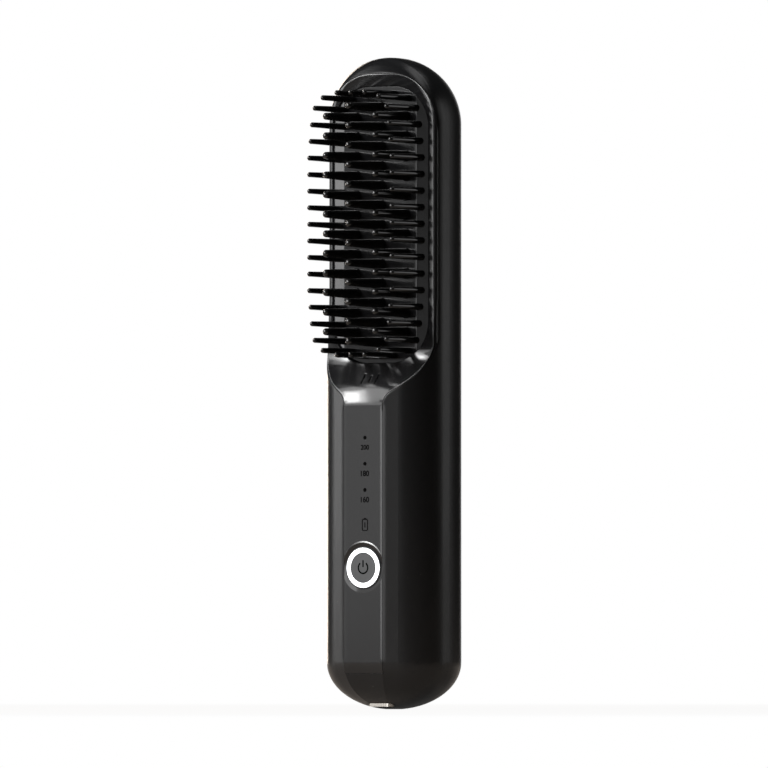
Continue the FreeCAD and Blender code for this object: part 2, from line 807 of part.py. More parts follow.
def tooth_spots():
    """Three columns of teeth, the outer two staggered by half a pitch: (x, z, drop of the tip)."""
    spots = []
    for column, count, drop in ((0, MIDDLE_TEETH, 0.0), (1, SIDE_TEETH, 1.0), (-1, SIDE_TEETH, 1.0)):
        for i in range(count):
            z = bed_center + (i - (count - 1) / 2) * tooth_pitch
            spots.append((column * size("tooth_column"), z, drop * size("tooth_side_drop")))
    return spots


def bristle_bed():
    plate = bed_prism(0.0, bed_y, bed_back)
    cutters = []
    for x, z, drop in tooth_spots():
        cutters.append(rod(tooth_base + 2 * size("peg_clearance"), bed_y, bed_back, x, z))
    for x, z in bristle_spots():
        cutters.append(rod(size("peg_diameter") + 2 * size("peg_clearance"), bed_y, bed_back, x, z))
    for x, z in clamp_spots:
        cutters.append(rod(screw_hole, bed_back - size("bed_screw_depth"), bed_back, x, z))
    return plate.cut(cutters)


node(solid("bristle_bed", bristle_bed()), "bristle_bed")


def round_tipped(base, tip, length):
    """A tapered bristle that points along -Y from the origin and ends in a ball."""
    straight = length - tip / 2
    taper_part = Part.makeCone(base / 2, tip / 2, straight, Vector(0, 0, 0), Vector(0, -1, 0))
    return taper_part.fuse(Part.makeSphere(tip / 2, Vector(0, -straight, 0)))


def edge_bristles():
    stem = round_tipped(size("bristle_base_diameter"), size("bristle_tip_diameter"), size("bristle_length"))
    stem = stem.fuse(rod(size("peg_diameter"), 0.0, size("peg_length"), 0.0, 0.0)).removeSplitter()
    return [stem.translated(Vector(x, bed_y, z)) for x, z in bristle_spots()]


def heating_teeth():
    teeth = []
    for x, z, drop in tooth_spots():
        length = size("tooth_length") - drop
        tooth = round_tipped(tooth_base, tooth_tip, length)
        root = rod(tooth_base, 0.0, plate_front - bed_y, 0.0, 0.0)
        tooth = tooth.fuse(root).removeSplitter()
        teeth.append(tooth.translated(Vector(x, bed_y, z)))
    return teeth


node(group("edge_bristles", edge_bristles()), "edge_bristles")
node(group("heating_teeth", heating_teeth()), "heating_teeth")


# The heater behind the bed.

gasket_rim = bed_prism(-size("plate_margin"), bed_back, plate_front)
gasket_void = bed_prism(-size("plate_margin") - size("gasket_width"), bed_back, plate_front)
node(solid("bed_gasket", gasket_rim.cut(gasket_void)), "bed_gasket")

plate_holes = [rod(screw_hole, plate_front, plate_back, x, z) for x, z in clamp_spots]
heat_plate = bed_prism(-size("plate_margin"), plate_front, plate_back).cut(plate_holes)
node(solid("heating_plate", heat_plate), "heating_plate")

HEATER_WIDTH = "Sizes.heater_width"
HEATER_LENGTH = f"(2 * ({BED_HALF} - Sizes.heater_margin))"
node(
    sheet_body("ptc", HEATER_WIDTH, HEATER_LENGTH, "Sizes.heater_thickness", "0", HEATER_BACK, BED_Z),
    "ptc_heater",
)
FILM_WIDTH = f"({HEATER_WIDTH} + 2 * Sizes.film_thickness)"
FILM_DEPTH = "(Sizes.heater_thickness + 2 * Sizes.film_thickness)"
HEATER_LOW = f"({BED_Z} - {HEATER_LENGTH} / 2)"
film_outside = block("film_outside", FILM_WIDTH, FILM_DEPTH, HEATER_LENGTH, "0", PLATE_BACK, HEATER_LOW)
film_inside = block(
    "film_inside", HEATER_WIDTH, "Sizes.heater_thickness", HEATER_LENGTH, "0", HEATER_FRONT, HEATER_LOW
)
node(cut("film", film_outside, film_inside), "heater_insulation_film")


def drilled(name, base, diameter, depth, front, spots):
    """A flat piece with a hole at each spot, given in X and Z as expressions."""
    holes = [
        disc(f"{name}_hole_{i}", diameter, depth, x, f"{front} + {depth}", z)
        for i, (x, z) in enumerate(spots)
    ]
    return cut(name, base, fuse(name + "_holes", holes))


SCREW_HOLE = "(Sizes.screw_diameter + 2 * Sizes.screw_hole_clearance)"


def corner_spots(x, low, high):
    """Four hole places as expressions: both sides of the middle, at two heights."""
    return [(f"{sign}{x}", height) for sign in ("", "-") for height in (low, high)]


CLAMP_LENGTH = f"2 * ({BED_HALF} - Sizes.clamp_margin)"
CLAMP_SCREW_Z = f"({BED_HALF} - Sizes.clamp_screw_margin)"
clamp_sheet = sheet_body(
    "clamp", "Sizes.clamp_width", CLAMP_LENGTH, "Sizes.clamp_thickness", "0", CLAMP_BACK, BED_Z
)
clamp_holes = corner_spots(
    "Sizes.clamp_screw_x", f"({BED_Z} - {CLAMP_SCREW_Z})", f"({BED_Z} + {CLAMP_SCREW_Z})"
)
node(
    drilled("heater_clamp", clamp_sheet, SCREW_HOLE, "Sizes.clamp_thickness", CLAMP_FRONT, clamp_holes),
    "heater_clamp",
)
SHIELD_LENGTH = f"2 * ({BED_HALF} - Sizes.shield_margin)"
SHIELD_POST_Z = f"({BED_HALF} - Sizes.shield_post_margin)"
shield_sheet = sheet_body(
    "shield", "Sizes.shield_width", SHIELD_LENGTH, "Sizes.shield_thickness", "0", SHIELD_BACK, BED_Z
)
shield_holes = corner_spots(
    "Sizes.shield_post_x", f"({BED_Z} - {SHIELD_POST_Z})", f"({BED_Z} + {SHIELD_POST_Z})"
)
node(
    drilled("heat_shield", shield_sheet, SCREW_HOLE, "Sizes.shield_thickness", SHIELD_FRONT, shield_holes),
    "heat_shield",
)

UP = Rotation()
SENSOR_X = f"({CRADLE_BORE} / 2 - Sizes.sensor_inset)"
SENSOR_Z = f"({HEATER_LOW} - Sizes.sensor_drop)"
sensor_bead = disc(
    "sensor_bead", "Sizes.sensor_diameter", "Sizes.sensor_length", SENSOR_X,
    f"{PLATE_BACK} + Sizes.sensor_diameter / 2", SENSOR_Z, UP,
)
node(sensor_bead, "thermistor")
fuse_tube = disc(
    "fuse_tube", "Sizes.fuse_diameter", "Sizes.fuse_length", f"-{SENSOR_X}",
    f"{PLATE_BACK} + Sizes.fuse_diameter / 2", f"({HEATER_LOW} - Sizes.fuse_drop)", UP,
)
node(fuse_tube, "thermal_fuse")


# Screws.


def screw(seat, grip, x, z, inward):
    """A round-headed screw: its head sits on the depth seat, and its shank runs in from there."""
    head = size("screw_head_height")
    front = seat if inward < 0 else seat - head
    body = rod(size("screw_head_diameter"), front, front + head, x, z)
    shank_front = seat - grip if inward < 0 else seat
    body = body.fuse(rod(size("screw_diameter"), shank_front, shank_front + grip, x, z))
    socket_front = front + head / 2 if inward < 0 else front
    return body.cut(rod(size("screw_socket"), socket_front, socket_front + head / 2, x, z))


clamp_grip = clamp_back - bed_back + size("bed_thickness") / 2
board_grip = board_back - cover_back - HOLE_SPARE
node(group("plate_screws", [screw(clamp_back, clamp_grip, x, z, -1) for x, z in clamp_spots]), "plate_screws")
shield_fasteners = [screw(shield_front, SCREW_GRIP, x, z, 1) for x, z in shield_spots]
node(group("shield_screws", shield_fasteners), "shield_screws")
node(group("board_screws", [screw(board_back, board_grip, x, z, -1) for x, z in board_spots]), "board_screws")


# The power button: cap, lit ring and switch stem move together, in line with the switch on the board.

BUTTON_Z = "Sizes.button_height"
FLANGE_FRONT = f"({COVER_BACK} + Sizes.button_travel)"
FLANGE_BACK = f"({FLANGE_FRONT} + Sizes.button_flange_thickness)"
DISC_BACK = f"({FACET} + Sizes.button_disc)"
EDGE_BACK = f"({FACET} + Sizes.button_edge)"
CAP = "Sizes.button_diameter"
cap_wall = disc("cap_wall", CAP, f"{FLANGE_BACK} - {EDGE_BACK}", "0", FLANGE_BACK, BUTTON_Z)
CAP_FACE = f"{CAP} - 2 * Sizes.button_edge"
cap_edge = taper("cap_edge", CAP, CAP_FACE, "Sizes.button_edge", "0", EDGE_BACK, BUTTON_Z)
cap_flange = disc(
    "cap_flange", f"{CAP} + 2 * Sizes.button_flange", "Sizes.button_flange_thickness",
    "0", FLANGE_BACK, BUTTON_Z,
)
cap_void = disc(
    "cap_void", f"{CAP} - 2 * Sizes.button_skirt", f"{FLANGE_BACK} - {DISC_BACK}", "0", FLANGE_BACK, BUTTON_Z
)
RING_FLOOR = f"({FACET} + Sizes.ring_depth)"


def annulus(name, outside, inside, depth, back):
    """A flat ring round the button's axis."""
    rim = disc(name + "_rim", outside, depth, "0", back, BUTTON_Z)
    bore = disc(name + "_bore", inside, depth, "0", back, BUTTON_Z)
    return cut(name, rim, bore)


groove = annulus(
    "ring_groove", "Sizes.ring_outer_diameter", "Sizes.ring_inner_diameter", "Sizes.ring_depth", RING_FLOOR
)
cap_blank = fuse("cap_blank", [cap_wall, cap_edge, cap_flange])
node(cut("cap", cap_blank, fuse("cap_cuts", [cap_void, groove])), "button_cap")
light_ring = annulus(
    "light_ring", "Sizes.ring_outer_diameter - 2 * Sizes.ring_clearance",
    "Sizes.ring_inner_diameter + 2 * Sizes.ring_clearance", "Sizes.ring_depth", RING_FLOOR,
)
node(light_ring, "button_light_ring")

SWITCH_FRONT = f"({BOARD_FRONT} - Sizes.switch_height)"
BORE_FLOOR = f"({BOARD_FRONT} - Sizes.stem_floor)"
STEM_BACK = f"({BORE_FLOOR} - Sizes.button_travel - Sizes.button_clearance)"
node(
    disc("stem", "Sizes.stem_diameter", f"{STEM_BACK} - {DISC_BACK}", "0", STEM_BACK, BUTTON_Z),
    "switch_stem",
)
switch_body = block(
    "switch_body", "Sizes.switch_width", "Sizes.switch_height", "Sizes.switch_width", "0", SWITCH_FRONT,
    f"{BUTTON_Z} - Sizes.switch_width / 2",
)
switch_bore = disc(
    "switch_bore", "Sizes.stem_diameter + 2 * Sizes.stem_clearance", f"{BORE_FLOOR} - {SWITCH_FRONT}", "0",
    BORE_FLOOR, BUTTON_Z,
)
node(cut("switch", switch_body, switch_bore), "tact_switch")
SHROUD_BORE = f"({CAP} + 2 * Sizes.button_flange + 2 * Sizes.shroud_clearance)"
shroud = annulus(
    "shroud", f"{SHROUD_BORE} + 2 * Sizes.shroud_wall", SHROUD_BORE, "Sizes.shroud_height", BOARD_FRONT
)
node(shroud, "light_shroud")


# The control board with its parts, and the windows in front of it.

BOARD_MIDDLE = "(Sizes.board_start + Sizes.board_length / 2)"
board_sheet = sheet_body(
    "board", f"{CRADLE_OUT} - 2 * Sizes.board_inset", "Sizes.board_length", "Sizes.board_thickness", "0",
    BOARD_BACK, BOARD_MIDDLE,
)
board_holes = corner_spots("Sizes.board_screw_x", "Sizes.board_screw_low", "Sizes.board_screw_high")
node(
    drilled("main_board", board_sheet, SCREW_HOLE, "Sizes.board_thickness", BOARD_FRONT, board_holes),
    "main_pcb",
)


def led(x, z):
    """A small lamp chip on the front of the board."""
    front = board_front - size("led_thickness")
    corner = Vector(x - size("led_width") / 2, front, z - size("led_height") / 2)
    return Part.makeBox(size("led_width"), size("led_thickness"), size("led_height"), corner)


led_turn = size("led_circle") * math.sqrt(0.5)
ring_places = [(sx * led_turn, size("button_height") + sz * led_turn) for sx in (1, -1) for sz in (1, -1)]
node(group("ring_leds", [led(x, z) for x, z in ring_places]), "ring_leds")
sign_places = lens_heights() + [size("sign_height")]
node(group("indicator_leds", [led(size("lens_shift"), z) for z in sign_places]), "indicator_leds")


def window_pipe(z):
    """A light pipe: a thin rod through the cover with a flange behind it."""
    back = board_front - size("led_thickness") - size("lens_led_gap")
    x = size("lens_shift")
    pipe = rod(size("lens_diameter"), facet_y, back, x, z)
    flange = rod(size("lens_flange_diameter"), cover_back, cover_back + size("lens_flange"), x, z)
    return pipe.fuse(flange).removeSplitter()


node(group("temperature_lenses", [window_pipe(z) for z in lens_heights()]), "temperature_lenses")
SIGN_LOW = "(Sizes.sign_height - Sizes.sign_length / 2)"
SIGN_RIM = "Sizes.lens_flange"
sign_window = block(
    "sign_window", "Sizes.sign_width", "Sizes.cover_thickness + Sizes.lens_flange", "Sizes.sign_length",
    "Sizes.lens_shift", FACET, SIGN_LOW,
)
sign_flange = block(
    "sign_flange", f"Sizes.sign_width + 2 * {SIGN_RIM}", "Sizes.lens_flange",
    f"Sizes.sign_length + 2 * {SIGN_RIM}", "Sizes.lens_shift", COVER_BACK, f"{SIGN_LOW} - {SIGN_RIM}",
)
node(fuse("sign_lens", [sign_window, sign_flange]), "battery_lens")

node(
    block("mcu", "Sizes.chip_width", "Sizes.chip_thickness", "Sizes.chip_width", "0", BOARD_BACK,
          "Sizes.chip_height"),
    "mcu_chip",
)
POWER_X = f"({CRADLE_BORE} / 2 - Sizes.inductor_width / 2 - Sizes.power_parts_clearance)"
node(
    block("mosfet", "Sizes.mosfet_width", "Sizes.mosfet_thickness", "Sizes.mosfet_length",
          POWER_X, BOARD_BACK, "Sizes.power_parts_height"),
    "power_mosfet",
)
node(
    block("inductor", "Sizes.inductor_width", "Sizes.inductor_height", "Sizes.inductor_width",
          f"-{POWER_X}", BOARD_BACK, "Sizes.power_parts_height"),
    "boost_inductor",
)


capacitor_x = value(CRADLE_BORE) / 2 - size("capacitor_diameter") / 2 - size("capacitor_clearance")


def capacitor(i):
    z = size("capacitor_first") + i * size("capacitor_pitch")
    return rod(size("capacitor_diameter"), board_back, board_back + size("capacitor_height"),
               capacitor_x, z)


node(group("filter_capacitors", [capacitor(i) for i in range(3)]), "filter_capacitors")


# The cell in its cradle, at the back of the handle.

CELL_LOW = "Sizes.cell_start"
END_STACK = "(Sizes.tab_thickness + Sizes.pad_thickness)"
CRADLE_LOW = f"({CELL_LOW} - {END_STACK} - Sizes.cradle_wall)"
CRADLE_HEIGHT = f"(Sizes.cell_length + 2 * {END_STACK} + 2 * Sizes.cradle_wall)"
node(
    disc("cell", "Sizes.cell_diameter", "Sizes.cell_length", "0", CELL_Y, CELL_LOW, UP),
    "battery_cell",
)
cradle_round = disc("cradle_round", CRADLE_OUT, CRADLE_HEIGHT, "0", CELL_Y, CRADLE_LOW, UP)
cradle_bore = disc(
    "cradle_bore", CRADLE_BORE, f"{CRADLE_HEIGHT} - 2 * Sizes.cradle_wall", "0", CELL_Y,
    f"{CRADLE_LOW} + Sizes.cradle_wall", UP,
)
cradle_front = block(
    "cradle_front", CRADLE_OUT, f"{CRADLE_OUT} / 2", CRADLE_HEIGHT,
    "0", f"{CELL_Y} - {CRADLE_OUT} / 2", CRADLE_LOW,
)
ARM_X = f"({CRADLE_BORE} / 2 + Sizes.cradle_wall / 2)"
cradle_arms = [
    block(f"cradle_arm_{i}", "Sizes.cradle_wall", f"{CELL_Y} - {BOARD_BACK}", CRADLE_HEIGHT,
          f"{sign}{ARM_X}", BOARD_BACK, CRADLE_LOW)
    for i, sign in enumerate(("", "-"))
]
cradle_shell = cut("cradle_shell", cradle_round, fuse("cradle_cuts", [cradle_bore, cradle_front]))
node(fuse("cradle", [cradle_shell] + cradle_arms), "battery_cradle")

cell_y = value(CELL_Y)
cell_low = size("cell_start")
cell_top = cell_low + size("cell_length")
tab_front = cell_y - size("cell_diameter") / 2 - size("tab_reach")
tab_levels = (cell_low - size("tab_thickness"), cell_top)
pad_levels = (tab_levels[0] - size("pad_thickness"), cell_top + size("tab_thickness"))


def tab(level):
    corner = Vector(-size("tab_width") / 2, tab_front, level)
    return Part.makeBox(size("tab_width"), cell_y - tab_front, size("tab_thickness"), corner)


def foam(level):
    return Part.makeCylinder(size("cell_diameter") / 3, size("pad_thickness"), Vector(0, cell_y, level))


node(group("battery_tabs", [tab(level) for level in tab_levels]), "battery_tabs")
node(group("battery_pads", [foam(level) for level in pad_levels]), "battery_pads")


# The charging socket at the lower end.

usb_low = size("usb_start")
usb_top = usb_low + size("usb_depth")
usb_mouth = usb_slug(-size("usb_wall"), usb_low, usb_top - size("usb_wall"))
usb_shell = usb_slug(0.0, usb_low, usb_top).cut(usb_mouth)
node(solid("usb_shell", usb_shell), "usb_c_shell")
node(
    block("tongue", "Sizes.usb_tongue_width", "Sizes.usb_tongue_thickness",
          "Sizes.usb_depth - Sizes.usb_wall - Sizes.usb_tongue_setback",
          "0", "-Sizes.usb_inset - Sizes.usb_tongue_thickness / 2",
          "Sizes.usb_start + Sizes.usb_tongue_setback"),
    "usb_c_tongue",
)
USB_BACK = "(Sizes.usb_height / 2 + Sizes.usb_board_thickness - Sizes.usb_inset)"
node(
    sheet_body("usb_board", "Sizes.usb_board_width", "Sizes.usb_board_length",
               "Sizes.usb_board_thickness", "0",
               USB_BACK, "Sizes.usb_board_start + Sizes.usb_board_length / 2"),
    "usb_pcb",
)


# Inner wires: straight runs joined by tangent arcs.

WIRE_BEND = 1.0
LANE_SHARE = 0.45
LEAD_SPREAD = 1.5
TWIN_LEADS = 0.6


def wire_tube(points, diameter):
    """A round wire along a route, with an arc of a fixed bend radius at each corner."""
    bend = WIRE_BEND * diameter
    edges = []
    start = points[0]
    for before, corner, after in zip(points, points[1:], points[2:]):
        inward = (before - corner).normalize()
        outward = (after - corner).normalize()
        half_turn = inward.getAngle(outward) / 2
        trim = bend / math.tan(half_turn)
        arc_start = corner + inward * trim
        arc_end = corner + outward * trim
        middle = (inward + outward).normalize()
        bow = corner + middle * (bend / math.sin(half_turn) - bend)
        edges.append(Part.LineSegment(start, arc_start).toShape())
        edges.append(Part.Arc(arc_start, bow, arc_end).toShape())
        start = arc_end
    edges.append(Part.LineSegment(start, points[-1]).toShape())
    spine = Part.Wire(edges)
    along = (points[1] - points[0]).normalize()
    ring = Part.Wire([Part.makeCircle(diameter / 2, points[0], along)])
    tube = spine.makePipeShell([ring], True, False)
    expected = math.pi * diameter**2 / 4 * spine.Length
    print("wire volume against section times length", round(tube.Volume / expected, 3))
    return tube


solder = size("solder_gap")
board_end = board_back + solder
lane = board_back + LANE_SHARE * (tab_front - board_back)


def battery_lead(x, level, board_z):
    z = level + size("tab_thickness") / 2
    start = Vector(x, tab_front - solder, z)
    return wire_tube(
        [start, Vector(x, lane, z), Vector(x, lane, board_z), Vector(x, board_end, board_z)],
        size("lead_diameter"),
    )


def head_lead(x, depth, top, board_z, diameter):
    """A wire from the heater's lower end, down past the scoop and forward to the board."""
    turn_z = size("strip_top") + size("lead_turn")
    route = [(depth, top), (depth, turn_z), (lane, turn_z), (lane, board_z), (board_end, board_z)]
    return wire_tube([Vector(x, y, z) for y, z in route], diameter)


heater_low = value(HEATER_LOW)
heater_middle = (value(HEATER_FRONT) + value(HEATER_BACK)) / 2
sensor_x = value(SENSOR_X)
sensor_y = plate_back + size("sensor_diameter") / 2
sensor_end = value(SENSOR_Z) - solder
lead_x = size("lead_spread")
board_top = size("board_start") + size("board_length")
node(
    group("battery_leads", [
        battery_lead(-lead_x, tab_levels[0], size("board_screw_low") + size("lead_step")),
        battery_lead(0.0, tab_levels[1], board_top - size("cell_lead_drop")),
    ]),
    "battery_leads",
)
heater_board_z = board_top - size("head_lead_drop")
heater_lead_x = lead_x * LEAD_SPREAD
lead_diameter = size("lead_diameter")
node(
    group("heater_leads", [
        head_lead(side * heater_lead_x, heater_middle, heater_low - solder, heater_board_z, lead_diameter)
        for side in (1, -1)
    ]),
    "heater_leads",
)
sensor_lead = size("sensor_lead_diameter")
sensor_lead_x = sensor_lead * TWIN_LEADS
node(
    group("sensor_leads", [
        head_lead(sensor_x + side * sensor_lead_x, sensor_y, sensor_end, heater_board_z, sensor_lead)
        for side in (1, -1)
    ]),
    "sensor_leads",
)
usb_board_top = size("usb_board_start") + size("usb_board_length")
usb_board_middle = usb_board_front + size("usb_board_thickness") / 2


def usb_lead(x):
    turn_z = usb_board_top + size("usb_lead_turn")
    screw_foot = size("board_screw_low") - size("screw_head_diameter") / 2
    board_z = screw_foot - size("lead_diameter") / 2 - size("usb_lead_clearance")
    route = [(usb_board_middle, usb_board_top + solder), (usb_board_middle, turn_z), (lane, turn_z),
             (lane, board_z), (board_end, board_z)]
    return wire_tube([Vector(x, y, z) for y, z in route], size("lead_diameter"))


usb_lead_x = size("board_screw_x") + size("screw_diameter") / 2
node(group("usb_leads", [usb_lead(side * usb_lead_x) for side in (1, -1)]), "usb_leads")


doc.recompute()
for obj in doc.Objects:
    if "Invalid" in obj.State or "Error" in obj.State:
        raise RuntimeError(f"{obj.Label} did not build: {obj.State}")
for label, obj in NODES.items():
    if obj.Shape.isNull() or not obj.Shape.isValid() or not obj.Shape.Solids:
        raise RuntimeError(f"{label} has no valid solid")

os.makedirs("parts", exist_ok=True)
for label, obj in NODES.items():
    obj.Shape.exportStep(f"parts/{label}.step")
print(len(NODES), "pieces written")
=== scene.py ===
# %% [markdown]
# # A cordless heated hair brush
# The brush is a black plastic body with a bristle head above and a handle below. The solids come from CAD
# as a fixed frame, already in place and in metres. This lesson gives every solid its finish, adds the
# small printed signs that a CAD solid does not hold, and sets up the light and the camera.

import math

import bmesh
import bpy
import numpy as np
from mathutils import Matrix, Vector


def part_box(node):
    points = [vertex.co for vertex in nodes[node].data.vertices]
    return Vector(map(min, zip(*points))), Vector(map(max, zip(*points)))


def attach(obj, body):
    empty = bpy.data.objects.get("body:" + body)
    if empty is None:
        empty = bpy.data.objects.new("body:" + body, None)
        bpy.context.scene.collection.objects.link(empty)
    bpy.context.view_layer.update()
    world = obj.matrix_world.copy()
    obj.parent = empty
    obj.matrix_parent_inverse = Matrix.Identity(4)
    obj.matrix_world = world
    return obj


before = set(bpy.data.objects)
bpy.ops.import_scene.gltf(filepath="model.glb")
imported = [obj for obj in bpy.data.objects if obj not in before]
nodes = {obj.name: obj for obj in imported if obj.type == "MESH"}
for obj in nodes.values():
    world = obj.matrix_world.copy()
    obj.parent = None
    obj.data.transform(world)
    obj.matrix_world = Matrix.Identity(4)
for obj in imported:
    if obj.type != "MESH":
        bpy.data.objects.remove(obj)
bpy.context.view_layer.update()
scene = bpy.context.scene
MM = 0.001

# %% [markdown]
# ## The camera
# The brush was photographed from its front right, from a little under its middle, with a long lens: the
# sides of the body stay parallel. A long lens far away does the same here. The frame is 236 mm wide where
# the brush stands, which gives the focal length by similar triangles. Camera and lamps could be placed by
# coordinates, but two angles and a distance are easier to read off a photo, so one helper turns these
# into a place.

# %% Directions
def heading(azimuth, elevation):
    """A unit vector away from the brush, by two angles in degrees.

    Azimuth is counted from the front (-Y) to the right, elevation from level upwards. X and Y are the sine
    and minus the cosine of the azimuth, times the cosine of the elevation. Z is the sine of the elevation.
    """
    turn = math.radians(azimuth)
    lift = math.radians(elevation)
    return Vector((math.sin(turn) * math.cos(lift), -math.cos(turn) * math.cos(lift), math.sin(lift)))


def stand_off(thing, aim, direction, distance):
    """Puts a camera or a lamp at aim plus direction times distance, turned to face the aim point."""
    thing.location = aim + direction * distance
    thing.rotation_euler = (-direction).to_track_quat("-Z", "Y").to_euler()
    scene.collection.objects.link(thing)


print("straight ahead of the brush is", tuple(heading(0.0, 0.0)))

# %% Camera
VIEW_AZIMUTH = 35.0
VIEW_ELEVATION = -1.2
VIEW_DISTANCE = 4.0
FRAME_WIDTH = 0.2358
AIM_ACROSS = -0.00305
AIM_HEIGHT = 0.0998
brush_middle = Vector((0.0, 0.0, AIM_HEIGHT))
photo_aim = brush_middle + heading(VIEW_AZIMUTH + 90.0, 0.0) * AIM_ACROSS
camera_data = bpy.data.cameras.new("photo_camera")
camera_data.sensor_width = 36.0
camera_data.lens = camera_data.sensor_width * VIEW_DISTANCE / FRAME_WIDTH
camera_data.clip_end = 20.0
camera = bpy.data.objects.new("photo_camera", camera_data)
stand_off(camera, photo_aim, heading(VIEW_AZIMUTH, VIEW_ELEVATION), VIEW_DISTANCE)
scene.camera = camera
print("camera lens", round(camera_data.lens, 1), "mm")

# %% [markdown]
# ## Meshes from arrays
# Every new surface is a grid of points worked out with numpy. One helper turns such a grid into a mesh:
# each point joins its right and upper neighbours into a four-sided face, and a grid that runs round
# closes on itself.

# %% Grid helpers
def mesh_object(name, points, faces, smooth=True):
    """An object from an array of points in metres and a list of faces."""
    mesh = bpy.data.meshes.new(name)
    mesh.from_pydata(np.asarray(points, float).reshape(-1, 3).tolist(), [], [list(f) for f in faces])
    mesh.polygons.foreach_set("use_smooth", [smooth] * len(mesh.polygons))
    mesh.update()
    made = bpy.data.objects.new(name, mesh)
    scene.collection.objects.link(made)
    return made


def grid_faces(rows, columns, round_columns=False, round_rows=False):
    """Faces of a grid of points stored row by row: corner, right, upper right, upper."""
    last_row = rows if round_rows else rows - 1
    last_column = columns if round_columns else columns - 1
    row, column = np.meshgrid(np.arange(last_row), np.arange(last_column), indexing="ij")
    right = (column + 1) % columns
    upper = (row + 1) % rows
    corners = [row * columns + column, row * columns + right,
               upper * columns + right, upper * columns + column]
    return np.stack([c.ravel() for c in corners], axis=1).tolist()


print("a grid of 3 by 3 points has", len(grid_faces(3, 3)), "faces")

# %% [markdown]
# ## The studio
# The brush stands on a round white floor that curves up into a wall all round, as in a product studio.
# The wall shows only from its inside, so that a camera outside it looks through it. Floor and wall are
# white to the camera. In reflections only the strip behind the brush is white, and the floor near it
# shows a little of its white. The rest of the wall is as dark as black cloth, which keeps the right side
# of the black body dark. The floor keeps some of its own shading, so that the shadow under the brush
# stays.

# %% Floor and wall
WALL_RADIUS = 1.25
WALL_HEIGHT = 1.5
WALL_BEND = 0.3
FLOOR_RINGS = [0.02, 0.2, 0.5]


def studio_points(radius, height, bend, columns=96, steps=16):
    """A profile turned round the upright axis: a floor, a quarter circle of the bend radius, then a wall."""
    turn = np.linspace(0.0, math.pi / 2, steps)
    reach = np.concatenate([FLOOR_RINGS, radius - bend + bend * np.sin(turn), [radius]])
    rise = np.concatenate([np.zeros(len(FLOOR_RINGS)), bend - bend * np.cos(turn), [height]])
    angle = -np.linspace(0.0, 2 * math.pi, columns, endpoint=False)
    grid = np.zeros((len(reach), columns, 3))
    grid[:, :, 0] = reach[:, None] * np.cos(angle)[None, :]
    grid[:, :, 1] = reach[:, None] * np.sin(angle)[None, :]
    grid[:, :, 2] = rise[:, None]
    return grid


studio_grid = studio_points(WALL_RADIUS, WALL_HEIGHT, WALL_BEND)
studio_rows, studio_columns = studio_grid.shape[:2]
studio_faces = grid_faces(studio_rows, studio_columns, round_columns=True)
studio_faces.append(list(range(studio_columns))[::-1])
studio = mesh_object("white_studio", studio_grid, studio_faces)
print("studio", len(studio.data.polygons), "faces")

# %% [markdown]
# ## Wiring nodes
# A material is a tree of nodes, and much of its wiring repeats: a sum, a product, a soft step, a mix of
# two tones. Wiring them by hand is clear for one material. Some thirty finishes are easier to keep alike
# in code, so each of these gets a helper that takes numbers and other nodes' outputs alike.

# %% Number nodes
def feed(tree, socket, value):
    """Sets a socket to a constant, or links another node's output to it."""
    if isinstance(value, bpy.types.NodeSocket):
        tree.links.new(value, socket)
    else:
        socket.default_value = value


def math_node(tree, operation, first, second=0.0):
    """The result of a Math node on one or two values."""
    made = tree.nodes.new("ShaderNodeMath")
    made.operation = operation
    feed(tree, made.inputs[0], first)
    feed(tree, made.inputs[1], second)
    return made.outputs[0]


def product(tree, first, *others):
    """Several values multiplied together."""
    for other in others:
        first = math_node(tree, "MULTIPLY", first, other)
    return first


def total(tree, first, *others):
    """Several values added up."""
    for other in others:
        first = math_node(tree, "ADD", first, other)
    return first


def span(tree, first, second):
    """How far a point is from the middle: the square root of its two coordinates' squares added up."""
    return math_node(tree, "SQRT", total(tree, product(tree, first, first), product(tree, second, second)))


def soft_step(tree, value, start, end, low=0.0, high=1.0):
    """A smooth change from low to high as the value goes from start to end."""
    made = tree.nodes.new("ShaderNodeMapRange")
    made.interpolation_type = "SMOOTHSTEP"
    given = {"Value": value, "From Min": start, "From Max": end, "To Min": low, "To Max": high}
    for label, amount in given.items():
        feed(tree, made.inputs[label], amount)
    return made.outputs["Result"]


print("number helpers", [helper.__name__ for helper in (math_node, product, total, span, soft_step)])

# %% Place and colour nodes
def object_place(tree):
    """The X, Y and Z of a point in the object's own coordinates, which are those of the whole brush."""
    coords = tree.nodes.new("ShaderNodeTexCoord")
    parts = tree.nodes.new("ShaderNodeSeparateXYZ")
    tree.links.new(coords.outputs["Object"], parts.inputs[0])
    return parts.outputs


def mix_colours(tree, factor, first, second):
    """A colour between two tones, by a factor over the surface. A tone is a triple or a node's colour."""
    mix = tree.nodes.new("ShaderNodeMix")
    mix.data_type = "RGBA"
    tree.links.new(factor, mix.inputs["Factor"])
    for label, tone in (("A", first), ("B", second)):
        feed(tree, mix.inputs[label], (*tone, 1.0) if isinstance(tone, tuple) else tone)
    return mix.outputs["Result"]


def mix_shaders(tree, factor, first, second):
    """A shader between two shaders, by a factor from 0 to 1."""
    mix = tree.nodes.new("ShaderNodeMixShader")
    for socket, output in zip(mix.inputs, (factor, first, second)):
        tree.links.new(output, socket)
    return mix.outputs[0]


print("colour helpers", [helper.__name__ for helper in (object_place, mix_colours, mix_shaders)])

# %% [markdown]
# The paper's material mixes a white glow with plain matt paper. The glow's share is 1 on the wall and a
# little less on the floor, for camera rays and for rays that passed through something clear. Reflected
# rays see it only in the strip behind the brush, and weakly on the floor near it.

